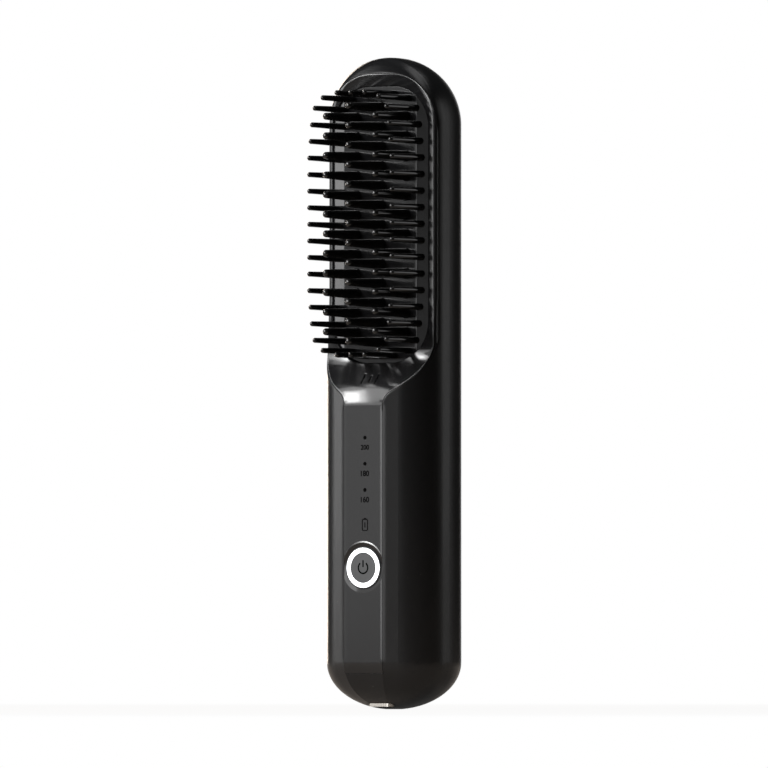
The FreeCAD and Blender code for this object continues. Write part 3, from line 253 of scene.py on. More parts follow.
# %% Where the paper is white
STRIP_ANGLES = (22.0, 14.0)
STRIP_HEIGHTS = (0.35, 0.6)
NEAR_FLOOR = (0.25, 0.5)
NEAR_FLOOR_GLOSS = 0.12
GLOW_REACH = (0.2, 0.6)
GLOW_SHARES = (0.93, 1.0)
paper = bpy.data.materials.new("studio_paper")
paper.use_nodes = True
paper_tree = paper.node_tree
paper_tree.nodes.clear()
paper_place = object_place(paper_tree)
floor_reach = span(paper_tree, paper_place["X"], paper_place["Y"])
view_side = heading(VIEW_AZIMUTH, 0.0)
behind = total(paper_tree, product(paper_tree, paper_place["X"], -view_side.x),
               product(paper_tree, paper_place["Y"], -view_side.y))
turned_away = math_node(paper_tree, "DIVIDE", behind, floor_reach)
strip_edges = [math.cos(math.radians(angle)) for angle in STRIP_ANGLES]
white_strip = product(paper_tree, soft_step(paper_tree, turned_away, *strip_edges),
                      soft_step(paper_tree, paper_place["Z"], *STRIP_HEIGHTS, 1.0, 0.0))
near_floor = soft_step(paper_tree, floor_reach, *NEAR_FLOOR, 1.0, 0.0)
paper_rays = paper_tree.nodes.new("ShaderNodeLightPath").outputs
mirrored = math_node(paper_tree, "MAXIMUM", white_strip, product(paper_tree, near_floor, NEAR_FLOOR_GLOSS))
seen = total(paper_tree, paper_rays["Is Camera Ray"], paper_rays["Is Transmission Ray"],
             product(paper_tree, paper_rays["Is Glossy Ray"], mirrored))
glow_share = product(paper_tree, math_node(paper_tree, "MINIMUM", seen, 1.0),
                     soft_step(paper_tree, floor_reach, *GLOW_REACH, *GLOW_SHARES))
print("paper masks use", len(paper_tree.nodes), "nodes")

# %% Paper
WHITE = (1.0, 1.0, 1.0)
BLACK_CLOTH = (0.06, 0.06, 0.06)
BARE_PAPER = (0.45, 0.38, 0.32)
paper_glow = paper_tree.nodes.new("ShaderNodeEmission")
paper_glow.inputs["Color"].default_value = (*WHITE, 1.0)
paper_glow.inputs["Strength"].default_value = 1.0
paper_flat = paper_tree.nodes.new("ShaderNodeBsdfDiffuse")
bare = math_node(paper_tree, "MAXIMUM", white_strip, near_floor)
paper_tree.links.new(mix_colours(paper_tree, bare, BLACK_CLOTH, BARE_PAPER), paper_flat.inputs["Color"])
paper_clear = paper_tree.nodes.new("ShaderNodeBsdfTransparent")
paper_side = paper_tree.nodes.new("ShaderNodeNewGeometry")
paper_face = mix_shaders(paper_tree, glow_share, paper_flat.outputs[0], paper_glow.outputs[0])
paper_wall = mix_shaders(paper_tree, paper_side.outputs["Backfacing"], paper_face, paper_clear.outputs[0])
paper_out = paper_tree.nodes.new("ShaderNodeOutputMaterial")
paper_tree.links.new(paper_wall, paper_out.inputs["Surface"])
studio.data.materials.append(paper)
print("paper nodes", len(paper_tree.nodes))

# %% [markdown]
# ## The lamps
# The photo's light can be read from the black plastic, because each face mirrors one direction. The
# bright oval on the scoop is the key light, high on the front left: a small core in a softbox, a wide
# halo round both, an apron under them and a faint veil above, so that the oval fades softly. The flat
# strip mirrors a dim fill, the left slope a tall strip lamp on the left, and the right crease a tall
# strip nearer to the front. The right side sees only a weak front panel and a weak lamp behind. A panel
# above and behind lights the dome, and a warm lamp behind draws the left rim. Brightness is given as
# radiance, so a lamp's power is that times its area times pi.

# %% Lamps
def soft_lamp(name, azimuth, elevation, distance, width, height, radiance, colour=WHITE):
    """A rectangular lamp that faces the brush, placed by two angles in degrees and a distance."""
    data = bpy.data.lights.new(name, "AREA")
    data.shape = "RECTANGLE"
    data.size = width
    data.size_y = height
    data.energy = radiance * width * height * math.pi
    data.color = colour
    lamp = bpy.data.objects.new(name, data)
    lamp.visible_camera = False
    stand_off(lamp, brush_middle, heading(azimuth, elevation), distance)


WARM = (1.0, 0.86, 0.73)
soft_lamp("key_core", -28.0, 26.0, 1.0, 0.21, 0.2, 20.0)
soft_lamp("key_softbox", -31.0, 27.0, 1.02, 0.34, 0.3, 9.0)
soft_lamp("key_halo", -40.0, 32.0, 1.05, 0.8, 0.5, 4.0)
soft_lamp("key_apron", -33.0, 13.0, 1.05, 0.6, 0.2, 2.4)
soft_lamp("key_veil", -54.0, 50.0, 1.1, 0.9, 0.36, 0.9)
soft_lamp("strip_fill", -46.0, -1.0, 1.0, 0.74, 0.36, 1.2)
soft_lamp("crease_strip", -15.0, 2.0, 1.0, 0.32, 0.9, 4.2)
soft_lamp("left_strip_lamp", -76.0, 14.0, 1.0, 0.16, 1.2, 5.8)
soft_lamp("front_panel", 6.0, 16.0, 1.0, 0.16, 1.2, 0.9)
soft_lamp("right_back_lamp", 139.0, 5.0, 1.0, 0.34, 0.9, 1.05)
soft_lamp("ceiling_panel", 145.0, 70.0, 1.0, 0.5, 0.5, 1.8)
soft_lamp("left_back_lamp", -128.0, 2.0, 1.0, 0.24, 0.9, 7.0, WARM)

# %% [markdown]
# The air round the studio is a dim grey that fills the shadows a little. The camera can look past the
# floor's near edge, so to the camera, and through anything clear, the air is as white as the paper.

# %% Air
AIR_TONE = (0.075, 0.078, 0.082)
world = bpy.data.worlds.new("studio_air")
world.use_nodes = True
air_tree = world.node_tree
air = air_tree.nodes["Background"]
air.inputs["Strength"].default_value = 1.0
air_rays = air_tree.nodes.new("ShaderNodeLightPath").outputs
air_shown = math_node(air_tree, "MAXIMUM", air_rays["Is Camera Ray"], air_rays["Is Transmission Ray"])
air_tree.links.new(mix_colours(air_tree, air_shown, AIR_TONE, WHITE), air.inputs["Color"])
scene.world = world
scene.view_settings.view_transform = "Standard"
print("air nodes", len(air_tree.nodes))

# %% [markdown]
# ## Shared surface effects
# Moulded plastic is never one flat colour. The mould's spark-eroded skin leaves a fine grain, handling
# leaves faint smears that change the gloss, and dust settles in specks. Each could be drawn anew in each
# material. Here each is one node group with named sockets, so that each finish places it with its own
# scale.

# %% Group helpers
def new_group(name, inputs, outputs):
    """An empty shader group with float inputs (name, value) and named outputs, its in and out nodes ready."""
    group = bpy.data.node_groups.new(name, "ShaderNodeTree")
    for label, value in inputs:
        socket = group.interface.new_socket(label, in_out="INPUT", socket_type="NodeSocketFloat")
        socket.default_value = value
    for label in outputs:
        group.interface.new_socket(label, in_out="OUTPUT", socket_type="NodeSocketFloat")
    return group, group.nodes.new("NodeGroupInput"), group.nodes.new("NodeGroupOutput")


def group_noise(group, vector, scale, detail=2.0, roughness=0.5, distortion=0.0):
    """A cloudy value from 0 to 1 over a vector, with a scale that is a number or a socket."""
    noise = group.nodes.new("ShaderNodeTexNoise")
    given = {"Vector": vector, "Scale": scale, "Detail": detail, "Roughness": roughness,
             "Distortion": distortion}
    for label, value in given.items():
        feed(group, noise.inputs[label], value)
    return noise.outputs["Fac"]


def group_cells(group, vector, scale, feature="F1"):
    """The distance to the nearest of many scattered points."""
    cells = group.nodes.new("ShaderNodeTexVoronoi")
    cells.feature = feature
    feed(group, cells.inputs["Vector"], vector)
    feed(group, cells.inputs["Scale"], scale)
    return cells.outputs["Distance"]


print("group helpers", [helper.__name__ for helper in (new_group, group_noise, group_cells)])

# %% Grain, smears and dust
SMEAR_STRETCH = (1.0, 1.0, 0.28)
SMEAR_FULL = 0.75
DUST_PATCH_SCALE = 55.0
DUST_PATCH_EDGE = 0.56


def make_mould_grain():
    """Height: fine rounded pimples, a noise less smooth cells. Patch: slow drift of the tone."""
    group, given, out = new_group("mould_grain", [("Scale", 3000.0), ("Drift", 40.0)], ["Height", "Patch"])
    place = group.nodes.new("ShaderNodeTexCoord").outputs["Object"]
    fine = group_noise(group, place, given.outputs["Scale"], 2.0, 0.55)
    cells = group_cells(group, place, given.outputs["Scale"], "SMOOTH_F1")
    group.links.new(math_node(group, "SUBTRACT", fine, cells), out.inputs["Height"])
    group.links.new(group_noise(group, place, given.outputs["Drift"], 3.0, 0.5), out.inputs["Patch"])
    return group


def make_handling_smears():
    """Smear: long soft streaks, a soft step of a noise that is stretched along the handle."""
    group, given, out = new_group("handling_smears", [("Scale", 60.0), ("Soft", 0.45)], ["Smear"])
    stretch = group.nodes.new("ShaderNodeMapping")
    stretch.inputs["Scale"].default_value = SMEAR_STRETCH
    group.links.new(group.nodes.new("ShaderNodeTexCoord").outputs["Object"], stretch.inputs["Vector"])
    noise = group_noise(group, stretch.outputs["Vector"], given.outputs["Scale"], 5.0, 0.62, 0.6)
    group.links.new(soft_step(group, noise, given.outputs["Soft"], SMEAR_FULL), out.inputs["Smear"])
    return group


def make_dust_specks():
    """Speck: small dots where the distance to a scattered cell's middle is short, thinned by a slow noise."""
    group, given, out = new_group("dust_specks", [("Scale", 260.0), ("Size", 0.10)], ["Speck"])
    place = group.nodes.new("ShaderNodeTexCoord").outputs["Object"]
    cells = group_cells(group, place, given.outputs["Scale"])
    dots = math_node(group, "LESS_THAN", cells, given.outputs["Size"])
    patches = math_node(group, "GREATER_THAN", group_noise(group, place, DUST_PATCH_SCALE), DUST_PATCH_EDGE)
    group.links.new(product(group, dots, patches), out.inputs["Speck"])
    return group


mould_grain = make_mould_grain()
handling_smears = make_handling_smears()
dust_specks = make_dust_specks()
print("skin groups", [g.name for g in bpy.data.node_groups])

# %% [markdown]
# ## Soft turns of the surface
# The real plastic has soft turns that the solids hold only in their main form: the scoop under the
# bristles is dished a little from side to side, the strip's long creases and the bed's long edges are
# rounded, and the top of the head's flat front rolls over. A finer mesh could carry them. Leaning the
# normals gives the same play of light on the solids as they are, so each turn is a group that takes a
# normal and puts out a leaned one.

# %% Leaned normals
def normal_group(name, inputs):
    """A group that takes a normal and puts out a normal, with a point's X, Y and Z at hand."""
    group, given, out = new_group(name, inputs, [])
    group.interface.new_socket("Normal", in_out="INPUT", socket_type="NodeSocketVector")
    group.interface.new_socket("Normal", in_out="OUTPUT", socket_type="NodeSocketVector")
    return group, given, out, object_place(group)


def split_normal(group, given):
    """The X, Y and Z of the group's given normal."""
    parts = group.nodes.new("ShaderNodeSeparateXYZ")
    group.links.new(given.outputs["Normal"], parts.inputs[0])
    return parts.outputs


def lean_normal(group, given, out, parts_of_lean):
    """Adds a sideways vector to the group's given normal and puts out the unit vector of the sum."""
    side = group.nodes.new("ShaderNodeCombineXYZ")
    for axis, amount in parts_of_lean.items():
        group.links.new(amount, side.inputs[axis])
    leaned = group.nodes.new("ShaderNodeVectorMath")
    leaned.operation = "ADD"
    group.links.new(given.outputs["Normal"], leaned.inputs[0])
    group.links.new(side.outputs[0], leaned.inputs[1])
    unit = group.nodes.new("ShaderNodeVectorMath")
    unit.operation = "NORMALIZE"
    group.links.new(leaned.outputs[0], unit.inputs[0])
    group.links.new(unit.outputs[0], out.inputs["Normal"])


print("normal helpers", [helper.__name__ for helper in (normal_group, split_normal, lean_normal)])

# %% Scoop
SCOOP_START = (0.0925, 0.0945)
RISE_START = (0.0925, 0.094)
RISE_END = (0.0945, 0.0965)
RISE_GAIN = 0.35
FOOT_START = (0.0955, 0.0975)
FOOT_END = (0.1005, 0.106)
LEDGE_START = (0.1035, 0.1085)
LEDGE_END = (0.1085, 0.1115)
LEDGE_ACROSS = (-0.002, 0.008)
LEDGE_LEANS = (-0.5, -0.85)
CORNER_ACROSS = (0.0115, 0.0135)
CORNER_LEANS = (0.0, -0.35)
WELL_TOP = 0.06
WELL_CUT = 0.8
CROWN_START = (0.182, 0.19)
CROWN_LEANS = (0.0, 0.28)
CROWN_LIFT = 0.05


def make_scoop_hollow():
    """Normal: a soft dish in the scoop, with a gentle foot, a flat ledge under the bed and a shallow well.

    Sideways, the normal leans towards the middle by X over the radius, by less on the ledge and the other
    way in its right corner. Upwards, the normal's own lift is raised where the strip bends into the scoop.
    It is cut by the foot's share above that, by the ledge's share near the bed, and in the button's well.
    The frame's flat crown leans down a little.
    """
    group, given, out, place = normal_group(
        "scoop_hollow", [("Radius", 0.052), ("Foot", 0.25), ("Ledge", 0.55)])
    lift = split_normal(group, given)["Z"]
    ledge = soft_step(group, place["Z"], *LEDGE_START)
    ledge_lean = total(group, soft_step(group, place["X"], *LEDGE_ACROSS, *LEDGE_LEANS),
                       soft_step(group, place["X"], *CORNER_ACROSS, *CORNER_LEANS))
    on_ledge = product(group, ledge, soft_step(group, place["Z"], *LEDGE_END, 1.0, 0.0))
    weight = total(group, 1.0, product(group, on_ledge, ledge_lean))
    lean = math_node(group, "DIVIDE", product(group, place["X"], -1.0), given.outputs["Radius"])
    sideways = product(group, lean, soft_step(group, place["Z"], *SCOOP_START), weight)
    foot = product(group, soft_step(group, place["Z"], *FOOT_START),
                   soft_step(group, place["Z"], *FOOT_END, 1.0, 0.0))
    rise = product(group, soft_step(group, place["Z"], *RISE_START),
                   soft_step(group, place["Z"], *RISE_END, -RISE_GAIN, 0.0))
    in_well = math_node(group, "LESS_THAN", place["Z"], WELL_TOP)
    cut = total(group, product(group, foot, given.outputs["Foot"]),
                product(group, ledge, given.outputs["Ledge"]), product(group, in_well, WELL_CUT), rise)
    crown = product(group, soft_step(group, place["Z"], *CROWN_START, *CROWN_LEANS),
                    math_node(group, "LESS_THAN", lift, CROWN_LIFT))
    downwards = total(group, product(group, math_node(group, "MAXIMUM", lift, 0.0), cut), crown)
    lean_normal(group, given, out, {"X": sideways, "Z": product(group, downwards, -1.0)})
    return group


scoop_hollow = make_scoop_hollow()
print("scoop nodes", len(scoop_hollow.nodes))

# %% Long edges
FADE_BELOW = 2.0 * MM
FADE_ABOVE = 1.0 * MM


def make_edge_turn(name, bottom, top):
    """Normal: the given normal, leaned sideways near two long upright edges of the front.

    The lean grows from zero to its full amount as the distance from the middle goes from Start to Edge. It is
    nothing nearer to the middle than Inner, and fades out below the bottom height and above the top height.
    """
    group, given, out, place = normal_group(
        name, [("Start", 0.006), ("Edge", 0.0072), ("Lean", 0.17), ("Inner", 0.0)])
    from_middle = math_node(group, "ABSOLUTE", place["X"])
    near_edge = soft_step(group, from_middle, given.outputs["Start"], given.outputs["Edge"])
    above = soft_step(group, place["Z"], bottom, bottom + FADE_BELOW)
    below = soft_step(group, place["Z"], top, top + FADE_ABOVE, 1.0, 0.0)
    outside = math_node(group, "GREATER_THAN", from_middle, given.outputs["Inner"])
    at_front = math_node(group, "LESS_THAN", place["Y"], 0.0)
    amount = product(group, near_edge, below, above, outside, at_front, given.outputs["Lean"])
    lean_normal(group, given, out, {"X": product(group, amount, math_node(group, "SIGN", place["X"]))})
    return group


STRIP_BOTTOM = 0.014
STRIP_TOP = 0.0925
BED_BOTTOM = 0.1
BED_TOP = 0.2
round_crease = make_edge_turn("round_crease", STRIP_BOTTOM, STRIP_TOP)
bed_edge_turn = make_edge_turn("bed_edge_turn", BED_BOTTOM, BED_TOP)
print("crease nodes", len(round_crease.nodes))

# %% Top of the head
ROLL_START = 0.0192
ROLL_END = 0.0212
ROLL_FADE = 0.004
FRONT_FACING = (-0.4, -0.9)


def make_round_head():
    """Normal: on the front of the head's top, the given normal leaned away from the head's middle.

    The lean grows to its full amount as the distance from the middle goes from the roll's start to its end.
    It is there only above the middle and where the normal faces front.
    """
    group, given, out, place = normal_group("round_head", [("Middle", 0.175), ("Lean", 1.0)])
    front = soft_step(group, split_normal(group, given)["Y"], *FRONT_FACING)
    rise = math_node(group, "SUBTRACT", place["Z"], given.outputs["Middle"])
    reach = span(group, place["X"], rise)
    upper = soft_step(group, rise, 0.0, ROLL_FADE)
    grown = soft_step(group, reach, ROLL_START, ROLL_END)
    amount = product(group, grown, given.outputs["Lean"], front, upper)
    share = math_node(group, "DIVIDE", amount, reach)
    lean_normal(group, given, out, {"X": product(group, share, place["X"]), "Z": product(group, share, rise)})
    return group


round_head = make_round_head()
print("groups", [g.name for g in bpy.data.node_groups])

# %% [markdown]
# ## Finishes
# A finish is one Principled shader. Its colour drifts a little between two close tones, its gloss follows
# the smears, and its bump follows the grain. What is the same all over sits on the shader's own sockets.
# On the body, the cover and the bed, a Bevel node rounds the sharp edges in the light, and the leaned
# normals come after it.

# %% Finish helpers
EDGE_HEIGHTS = (0.0905, 0.0925)
STRIP_EDGE = 0.03 * MM


def place_group(tree, group, **values):
    """A group's node in a material, with its own values on the sockets."""
    made = tree.nodes.new("ShaderNodeGroup")
    made.node_tree = group
    for label, value in values.items():
        made.inputs[label].default_value = value
    return made


def range_between(tree, value, low, high):
    """A value from 0 to 1 carried straight over to the range from low to high."""
    ranged = tree.nodes.new("ShaderNodeMapRange")
    ranged.inputs["To Min"].default_value = low
    ranged.inputs["To Max"].default_value = high
    tree.links.new(value, ranged.inputs["Value"])
    return ranged.outputs["Result"]


def shaped_normal(tree, edge, shaped):
    """The normal with sharp edges rounded by a Bevel node, then leaned by each group in turn.

    The bevel's radius is nearly nothing along the strip and grows to the given edge, in mm, above it.
    """
    rounded = tree.nodes.new("ShaderNodeBevel")
    rounded.samples = 6
    radius = soft_step(tree, object_place(tree)["Z"], *EDGE_HEIGHTS, STRIP_EDGE, edge * MM)
    tree.links.new(radius, rounded.inputs["Radius"])
    normal = rounded.outputs["Normal"]
    for group, values in shaped.items():
        turned = place_group(tree, group, **values)
        tree.links.new(normal, turned.inputs["Normal"])
        normal = turned.outputs["Normal"]
    return normal


print("finish helpers", [helper.__name__ for helper in (place_group, range_between, shaped_normal)])

# %% Finish builder
DRIFT_SCALE = 38.0
SMEAR_SCALE = 55.0
SMEAR_SOFT = 0.42
DUST_SCALE = 240.0
DUST_SIZE = 0.07


def finish(name, tone, drift_tone, rough, grain, bump, dust=None, edge=0.0, shaped=None, sockets=None):
    """A finish: two close tones, a gloss range, the grain's scale, the bump's depth in mm, and fixed sockets.

    Dust is the tone of its specks. Edge is the radius in mm that its sharp edges are shaded with above the
    strip, and shaped names the groups that lean its normals, each with its own values.
    """
    made = bpy.data.materials.new(name)
    made.use_nodes = True
    tree = made.node_tree
    shader = tree.nodes["Principled BSDF"]
    skin = place_group(tree, mould_grain, Scale=grain, Drift=DRIFT_SCALE)
    smear = place_group(tree, handling_smears, Scale=SMEAR_SCALE, Soft=SMEAR_SOFT)
    colour = mix_colours(tree, skin.outputs["Patch"], tone, drift_tone)
    if dust:
        speck = place_group(tree, dust_specks, Scale=DUST_SCALE, Size=DUST_SIZE)
        colour = mix_colours(tree, speck.outputs["Speck"], colour, dust)
    tree.links.new(colour, shader.inputs["Base Color"])
    tree.links.new(range_between(tree, smear.outputs["Smear"], *rough), shader.inputs["Roughness"])
    relief = tree.nodes.new("ShaderNodeBump")
    relief.inputs["Distance"].default_value = bump * MM
    tree.links.new(skin.outputs["Height"], relief.inputs["Height"])
    if edge:
        tree.links.new(shaped_normal(tree, edge, shaped), relief.inputs["Normal"])
    tree.links.new(relief.outputs["Normal"], shader.inputs["Normal"])
    for label, value in (sockets or {}).items():
        shader.inputs[label].default_value = value
    return made


def dress(material, *names):
    """Gives CAD nodes a finish in place of the one they came with."""
    for name in names:
        slots = nodes[name].data.materials
        slots.clear()
        slots.append(material)


print("finish builder", [helper.__name__ for helper in (finish, dress)])

# %% [markdown]
# ## The body, the front and the bed
# The rear shell is matt, with a little dust. The front cover is smoother, so that its scoop mirrors the
# key light as a soft oval, and the battery window is moulded in the same satin black. The bed under the
# bristles is glossy but dark, because the bristles keep the light from it.

# %% Large outer finishes
SATIN = ((0.007, 0.007, 0.0075), (0.010, 0.010, 0.0105), (0.15, 0.20), 4200.0, 0.0015)
matt_black = finish(
    "matt_black_body", (0.0065, 0.0065, 0.007), (0.009, 0.009, 0.0095), (0.28, 0.35), 4200.0, 0.008,
    dust=(0.03, 0.03, 0.03), edge=0.5,
    shaped={round_crease: {"Start": 0.0088, "Lean": -0.17, "Inner": 0.007}, round_head: {}},
    sockets={"Specular IOR Level": 0.34},
)
satin_black = finish(
    "satin_black_front", *SATIN,
    edge=0.45, shaped={scoop_hollow: {}, round_crease: {"Start": 0.0056, "Lean": 0.17}},
    sockets={"Specular IOR Level": 0.5},
)
window_black = finish("satin_black_window", *SATIN)
gloss_black = finish(
    "gloss_black_bed", (0.005, 0.005, 0.0055), (0.008, 0.008, 0.0085), (0.12, 0.2), 2500.0, 0.002,
    edge=0.25, shaped={bed_edge_turn: {"Start": 0.0125, "Edge": 0.014, "Lean": 0.36}},
    sockets={"Specular IOR Level": 0.25},
)
dress(matt_black, "rear_housing")
dress(satin_black, "front_cover")
dress(window_black, "battery_lens")
dress(gloss_black, "bristle_bed")
print("large outer finishes", len(bpy.data.materials))

# %% [markdown]
# ## Bristles, button and trim
# The outer bristles are nylon and the heated teeth have a ceramic coat, which is a little duller. The
# button is a dark grey cap with a white ring that is lit from inside, the level windows are smoked, and
# the charging socket is nickel. The ink of the signs hardly shines, and the lip of the button's well is
# polished.

# %% Small outer finishes
nylon_black = finish(
    "nylon_black_bristle", (0.004, 0.004, 0.004), (0.007, 0.007, 0.007), (0.08, 0.14), 2600.0, 0.002,
    sockets={"Specular IOR Level": 0.45},
)
ceramic_black = finish(
    "ceramic_black_tooth", (0.004, 0.004, 0.004), (0.008, 0.0078, 0.0075), (0.14, 0.22), 5200.0, 0.003,
    sockets={"Specular IOR Level": 0.5},
)
button_grey = finish(
    "button_grey", (0.045, 0.048, 0.051), (0.055, 0.058, 0.061), (0.36, 0.44), 4200.0, 0.004,
)
lamp_white = finish(
    "ring_white", (0.8, 0.8, 0.8), (0.86, 0.86, 0.86), (0.3, 0.4), 1500.0, 0.001,
    sockets={"Emission Color": (0.95, 0.98, 1.0, 1.0), "Emission Strength": 2.4},
)
lens_dark = finish(
    "smoked_lens", (0.0015, 0.0015, 0.0015), (0.0025, 0.0025, 0.0025), (0.5, 0.6), 1500.0, 0.001,
    sockets={"Specular IOR Level": 0.01},
)
nickel = finish(
    "nickel_plate", (0.62, 0.60, 0.56), (0.68, 0.66, 0.62), (0.2, 0.3), 2400.0, 0.002,
    sockets={"Metallic": 1.0},
)
sign_ink = finish(
    "sign_ink", (0.0015, 0.0015, 0.0015), (0.0025, 0.0025, 0.0025), (0.6, 0.7), 3000.0, 0.001,
    sockets={"Specular IOR Level": 0.01},
)
polished_lip = finish(
    "polished_lip", (0.012, 0.012, 0.0125), (0.016, 0.016, 0.0165), (0.16, 0.22), 4200.0, 0.001,
    sockets={"Specular IOR Level": 1.0},
)
dress(nylon_black, "edge_bristles")
dress(ceramic_black, "heating_teeth")
dress(button_grey, "button_cap")
dress(lamp_white, "button_light_ring")
dress(lens_dark, "temperature_lenses")
dress(nickel, "usb_c_shell", "battery_tabs")
print("outer finishes", len(bpy.data.materials))

# %% [markdown]
# ## Printed signs
# The strip carries a power sign on the button, the three heat levels under their windows, and a battery
# outline. On the real brush they are pad-printed in dark ink, a few hundredths of a millimetre thick.
# They could be painted in a material, but as thin solids they are part of the model's geometry. Each line of
# a sign is a thin bar that follows a path, with its width square to the path.

# %% Sign lines
INK_DEPTH = 0.02 * MM
strip_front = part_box("button_cap")[0][1]


def sign_line(path, width, closed):
    """Points and faces of a thin bar along a path of (X, Z) pairs: four corners round each path point."""
    path = np.asarray(path, float)
    if closed:
        ahead = np.roll(path, -1, axis=0) - np.roll(path, 1, axis=0)
    else:
        ahead = np.gradient(path, axis=0)
    ahead /= np.linalg.norm(ahead, axis=1)[:, None]
    side = np.stack([-ahead[:, 1], ahead[:, 0]], axis=1) * width / 2
    edges = [path + side, path - side, path - side, path + side]
    depths = [strip_front - INK_DEPTH, strip_front - INK_DEPTH, strip_front, strip_front]
    rings = np.zeros((len(path), 4, 3))
    for corner, (edge, depth) in enumerate(zip(edges, depths)):
        rings[:, corner, 0] = edge[:, 0]
        rings[:, corner, 1] = depth
        rings[:, corner, 2] = edge[:, 1]
    faces = grid_faces(len(path), 4, round_columns=True, round_rows=closed)
    if not closed:
        last = 4 * (len(path) - 1)
        faces += [[3, 2, 1, 0], [last, last + 1, last + 2, last + 3]]
    return rings.reshape(-1, 3), faces


def set_on(piece, material, body):
    """Gives a new piece its finish and the body that it rides on."""
    piece.data.materials.append(material)
    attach(piece, body)


def sign(name, lines, body):
    """One piece from several sign lines, in ink, that rides a body."""
    points, faces, start = [], [], 0
    for line_points, line_faces in lines:
        points.append(line_points)
        faces += [[start + corner for corner in face] for face in line_faces]
        start += len(line_points)
    made = mesh_object(name, np.concatenate(points), faces, smooth=False)
    set_on(made, sign_ink, body)
    return made


print("the strip's front is at", round(strip_front / MM, 2), "mm")

# %% Sign paths
def arc_path(middle, radius, start, end, count=40):
    """Points on a circle, with the angles counted from straight up, clockwise, in degrees."""
    turn = np.radians(np.linspace(start, end, count))
    return np.stack([middle[0] + radius * np.sin(turn), middle[1] + radius * np.cos(turn)], axis=1)


def bar_path(middle, low, high):
    """Two points of an upright bar, at heights counted from the middle."""
    return [(middle[0], middle[1] + low), (middle[0], middle[1] + high)]


def rounded_box_path(middle, half_width, half_height, round_radius, count=8):
    """A closed path round an upright box: a quarter circle at each corner."""
    corners = []
    for across_sign, up_sign, start in ((1, 1, 0.0), (1, -1, 90.0), (-1, -1, 180.0), (-1, 1, 270.0)):
        corner = (middle[0] + across_sign * (half_width - round_radius),
                  middle[1] + up_sign * (half_height - round_radius))
        corners.append(arc_path(corner, round_radius, start, start + 90.0, count))
    return np.concatenate(corners)


def front_middle(node):
    """The middle of a node's box as it is seen from the front: its X and its Z."""
    low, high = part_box(node)
    return (low[0] + high[0]) / 2, (low[2] + high[2]) / 2


button_middle = front_middle("button_cap")
lens_middle = front_middle("battery_lens")
print("button at", round(button_middle[1] / MM, 1), "mm")
print("battery sign at", round(lens_middle[1] / MM, 1), "mm")

# %% Power sign
POWER_RADIUS = 1.75 * MM
POWER_GAP = 38.0
POWER_BAR = (0.2 * MM, 2.3 * MM)
POWER_LINE = 0.5 * MM
power_lines = [
    sign_line(arc_path(button_middle, POWER_RADIUS, POWER_GAP, 360.0 - POWER_GAP), POWER_LINE, False),
    sign_line(bar_path(button_middle, *POWER_BAR), POWER_LINE, False),
]
power_sign = sign("power_sign", power_lines, "power_button")
print("power sign", len(power_sign.data.polygons), "faces")

# %% [markdown]
# The button sits in a shallow round well, and the upper edge of that well catches the light as a slim
# bright arc. It could be a bevel on the cover, but the cover's solid stays as it is, so the lip is a slim
# profile of three corners carried along the arc, thinner towards its ends.

# %% Rim of the button's well
RIM_WIDTH = 0.44 * MM
RIM_HEIGHT = 0.105 * MM
WELL_RADIUS = 7.72 * MM
RIM_REACH = 58.0
RIM_TAPER = 0.98


def rim_points(middle, rows=61):
    """A slim lip on the upper arc of the well's edge: highest at the well, down to the strip away from it."""
    share = np.linspace(-1.0, 1.0, rows)
    slim = np.sqrt(1.0 - RIM_TAPER * share ** 2)
    away = arc_path((0.0, 0.0), 1.0, -RIM_REACH, RIM_REACH, rows)
    reach = np.stack([WELL_RADIUS + RIM_WIDTH * slim, np.full(rows, WELL_RADIUS), np.full(rows, WELL_RADIUS)])
    depth = np.stack([np.zeros(rows), RIM_HEIGHT * slim, np.full(rows, -INK_DEPTH)])
    grid = np.zeros((rows, 3, 3))
    grid[:, :, 0] = middle[0] + away[:, :1] * reach.T
    grid[:, :, 1] = strip_front - depth.T
    grid[:, :, 2] = middle[1] + away[:, 1:] * reach.T
    return grid


rim_grid = rim_points(button_middle)
rim_rows = len(rim_grid)
rim_faces = grid_faces(rim_rows, 3, round_columns=True)
rim_faces += [[2, 1, 0], [3 * rim_rows - 3, 3 * rim_rows - 2, 3 * rim_rows - 1]]
well_rim = mesh_object("well_rim", rim_grid, rim_faces, smooth=False)
set_on(well_rim, polished_lip, "brush")
print("well rim", len(well_rim.data.polygons), "faces")

# %% [markdown]
# The battery sign is printed round its window in the same ink: a closed bar round a box, an upright bar
# for the charge, and a short bar above for the cap.

# %% Battery sign
BATTERY_HALF_WIDTH = 0.95 * MM
BATTERY_HALF_HEIGHT = 1.7 * MM
BATTERY_ROUND = 0.4 * MM
BATTERY_LINE = 0.28 * MM
CHARGE_HALF_HEIGHT = 0.8 * MM
CHARGE_LINE = 0.34 * MM
CAP_HALF_WIDTH = 0.4 * MM
CAP_HEIGHT = 2.0 * MM
battery_outline = rounded_box_path(lens_middle, BATTERY_HALF_WIDTH, BATTERY_HALF_HEIGHT, BATTERY_ROUND)
battery_cap = [(lens_middle[0] - CAP_HALF_WIDTH, lens_middle[1] + CAP_HEIGHT),
               (lens_middle[0] + CAP_HALF_WIDTH, lens_middle[1] + CAP_HEIGHT)]
battery_lines = [
    sign_line(battery_outline, BATTERY_LINE, True),
    sign_line(bar_path(lens_middle, -CHARGE_HALF_HEIGHT, CHARGE_HALF_HEIGHT), CHARGE_LINE, False),
    sign_line(battery_cap, BATTERY_LINE, False),
]
battery_sign = sign("battery_sign", battery_lines, "brush")
print("battery sign", len(battery_sign.data.polygons), "faces")

# %% [markdown]
# Each heat level has a number under its window. Digits drawn as paths would look like wire, so they are
# text that is given a thickness, made a mesh and stood up on the strip. A printed ring frames each
# window.

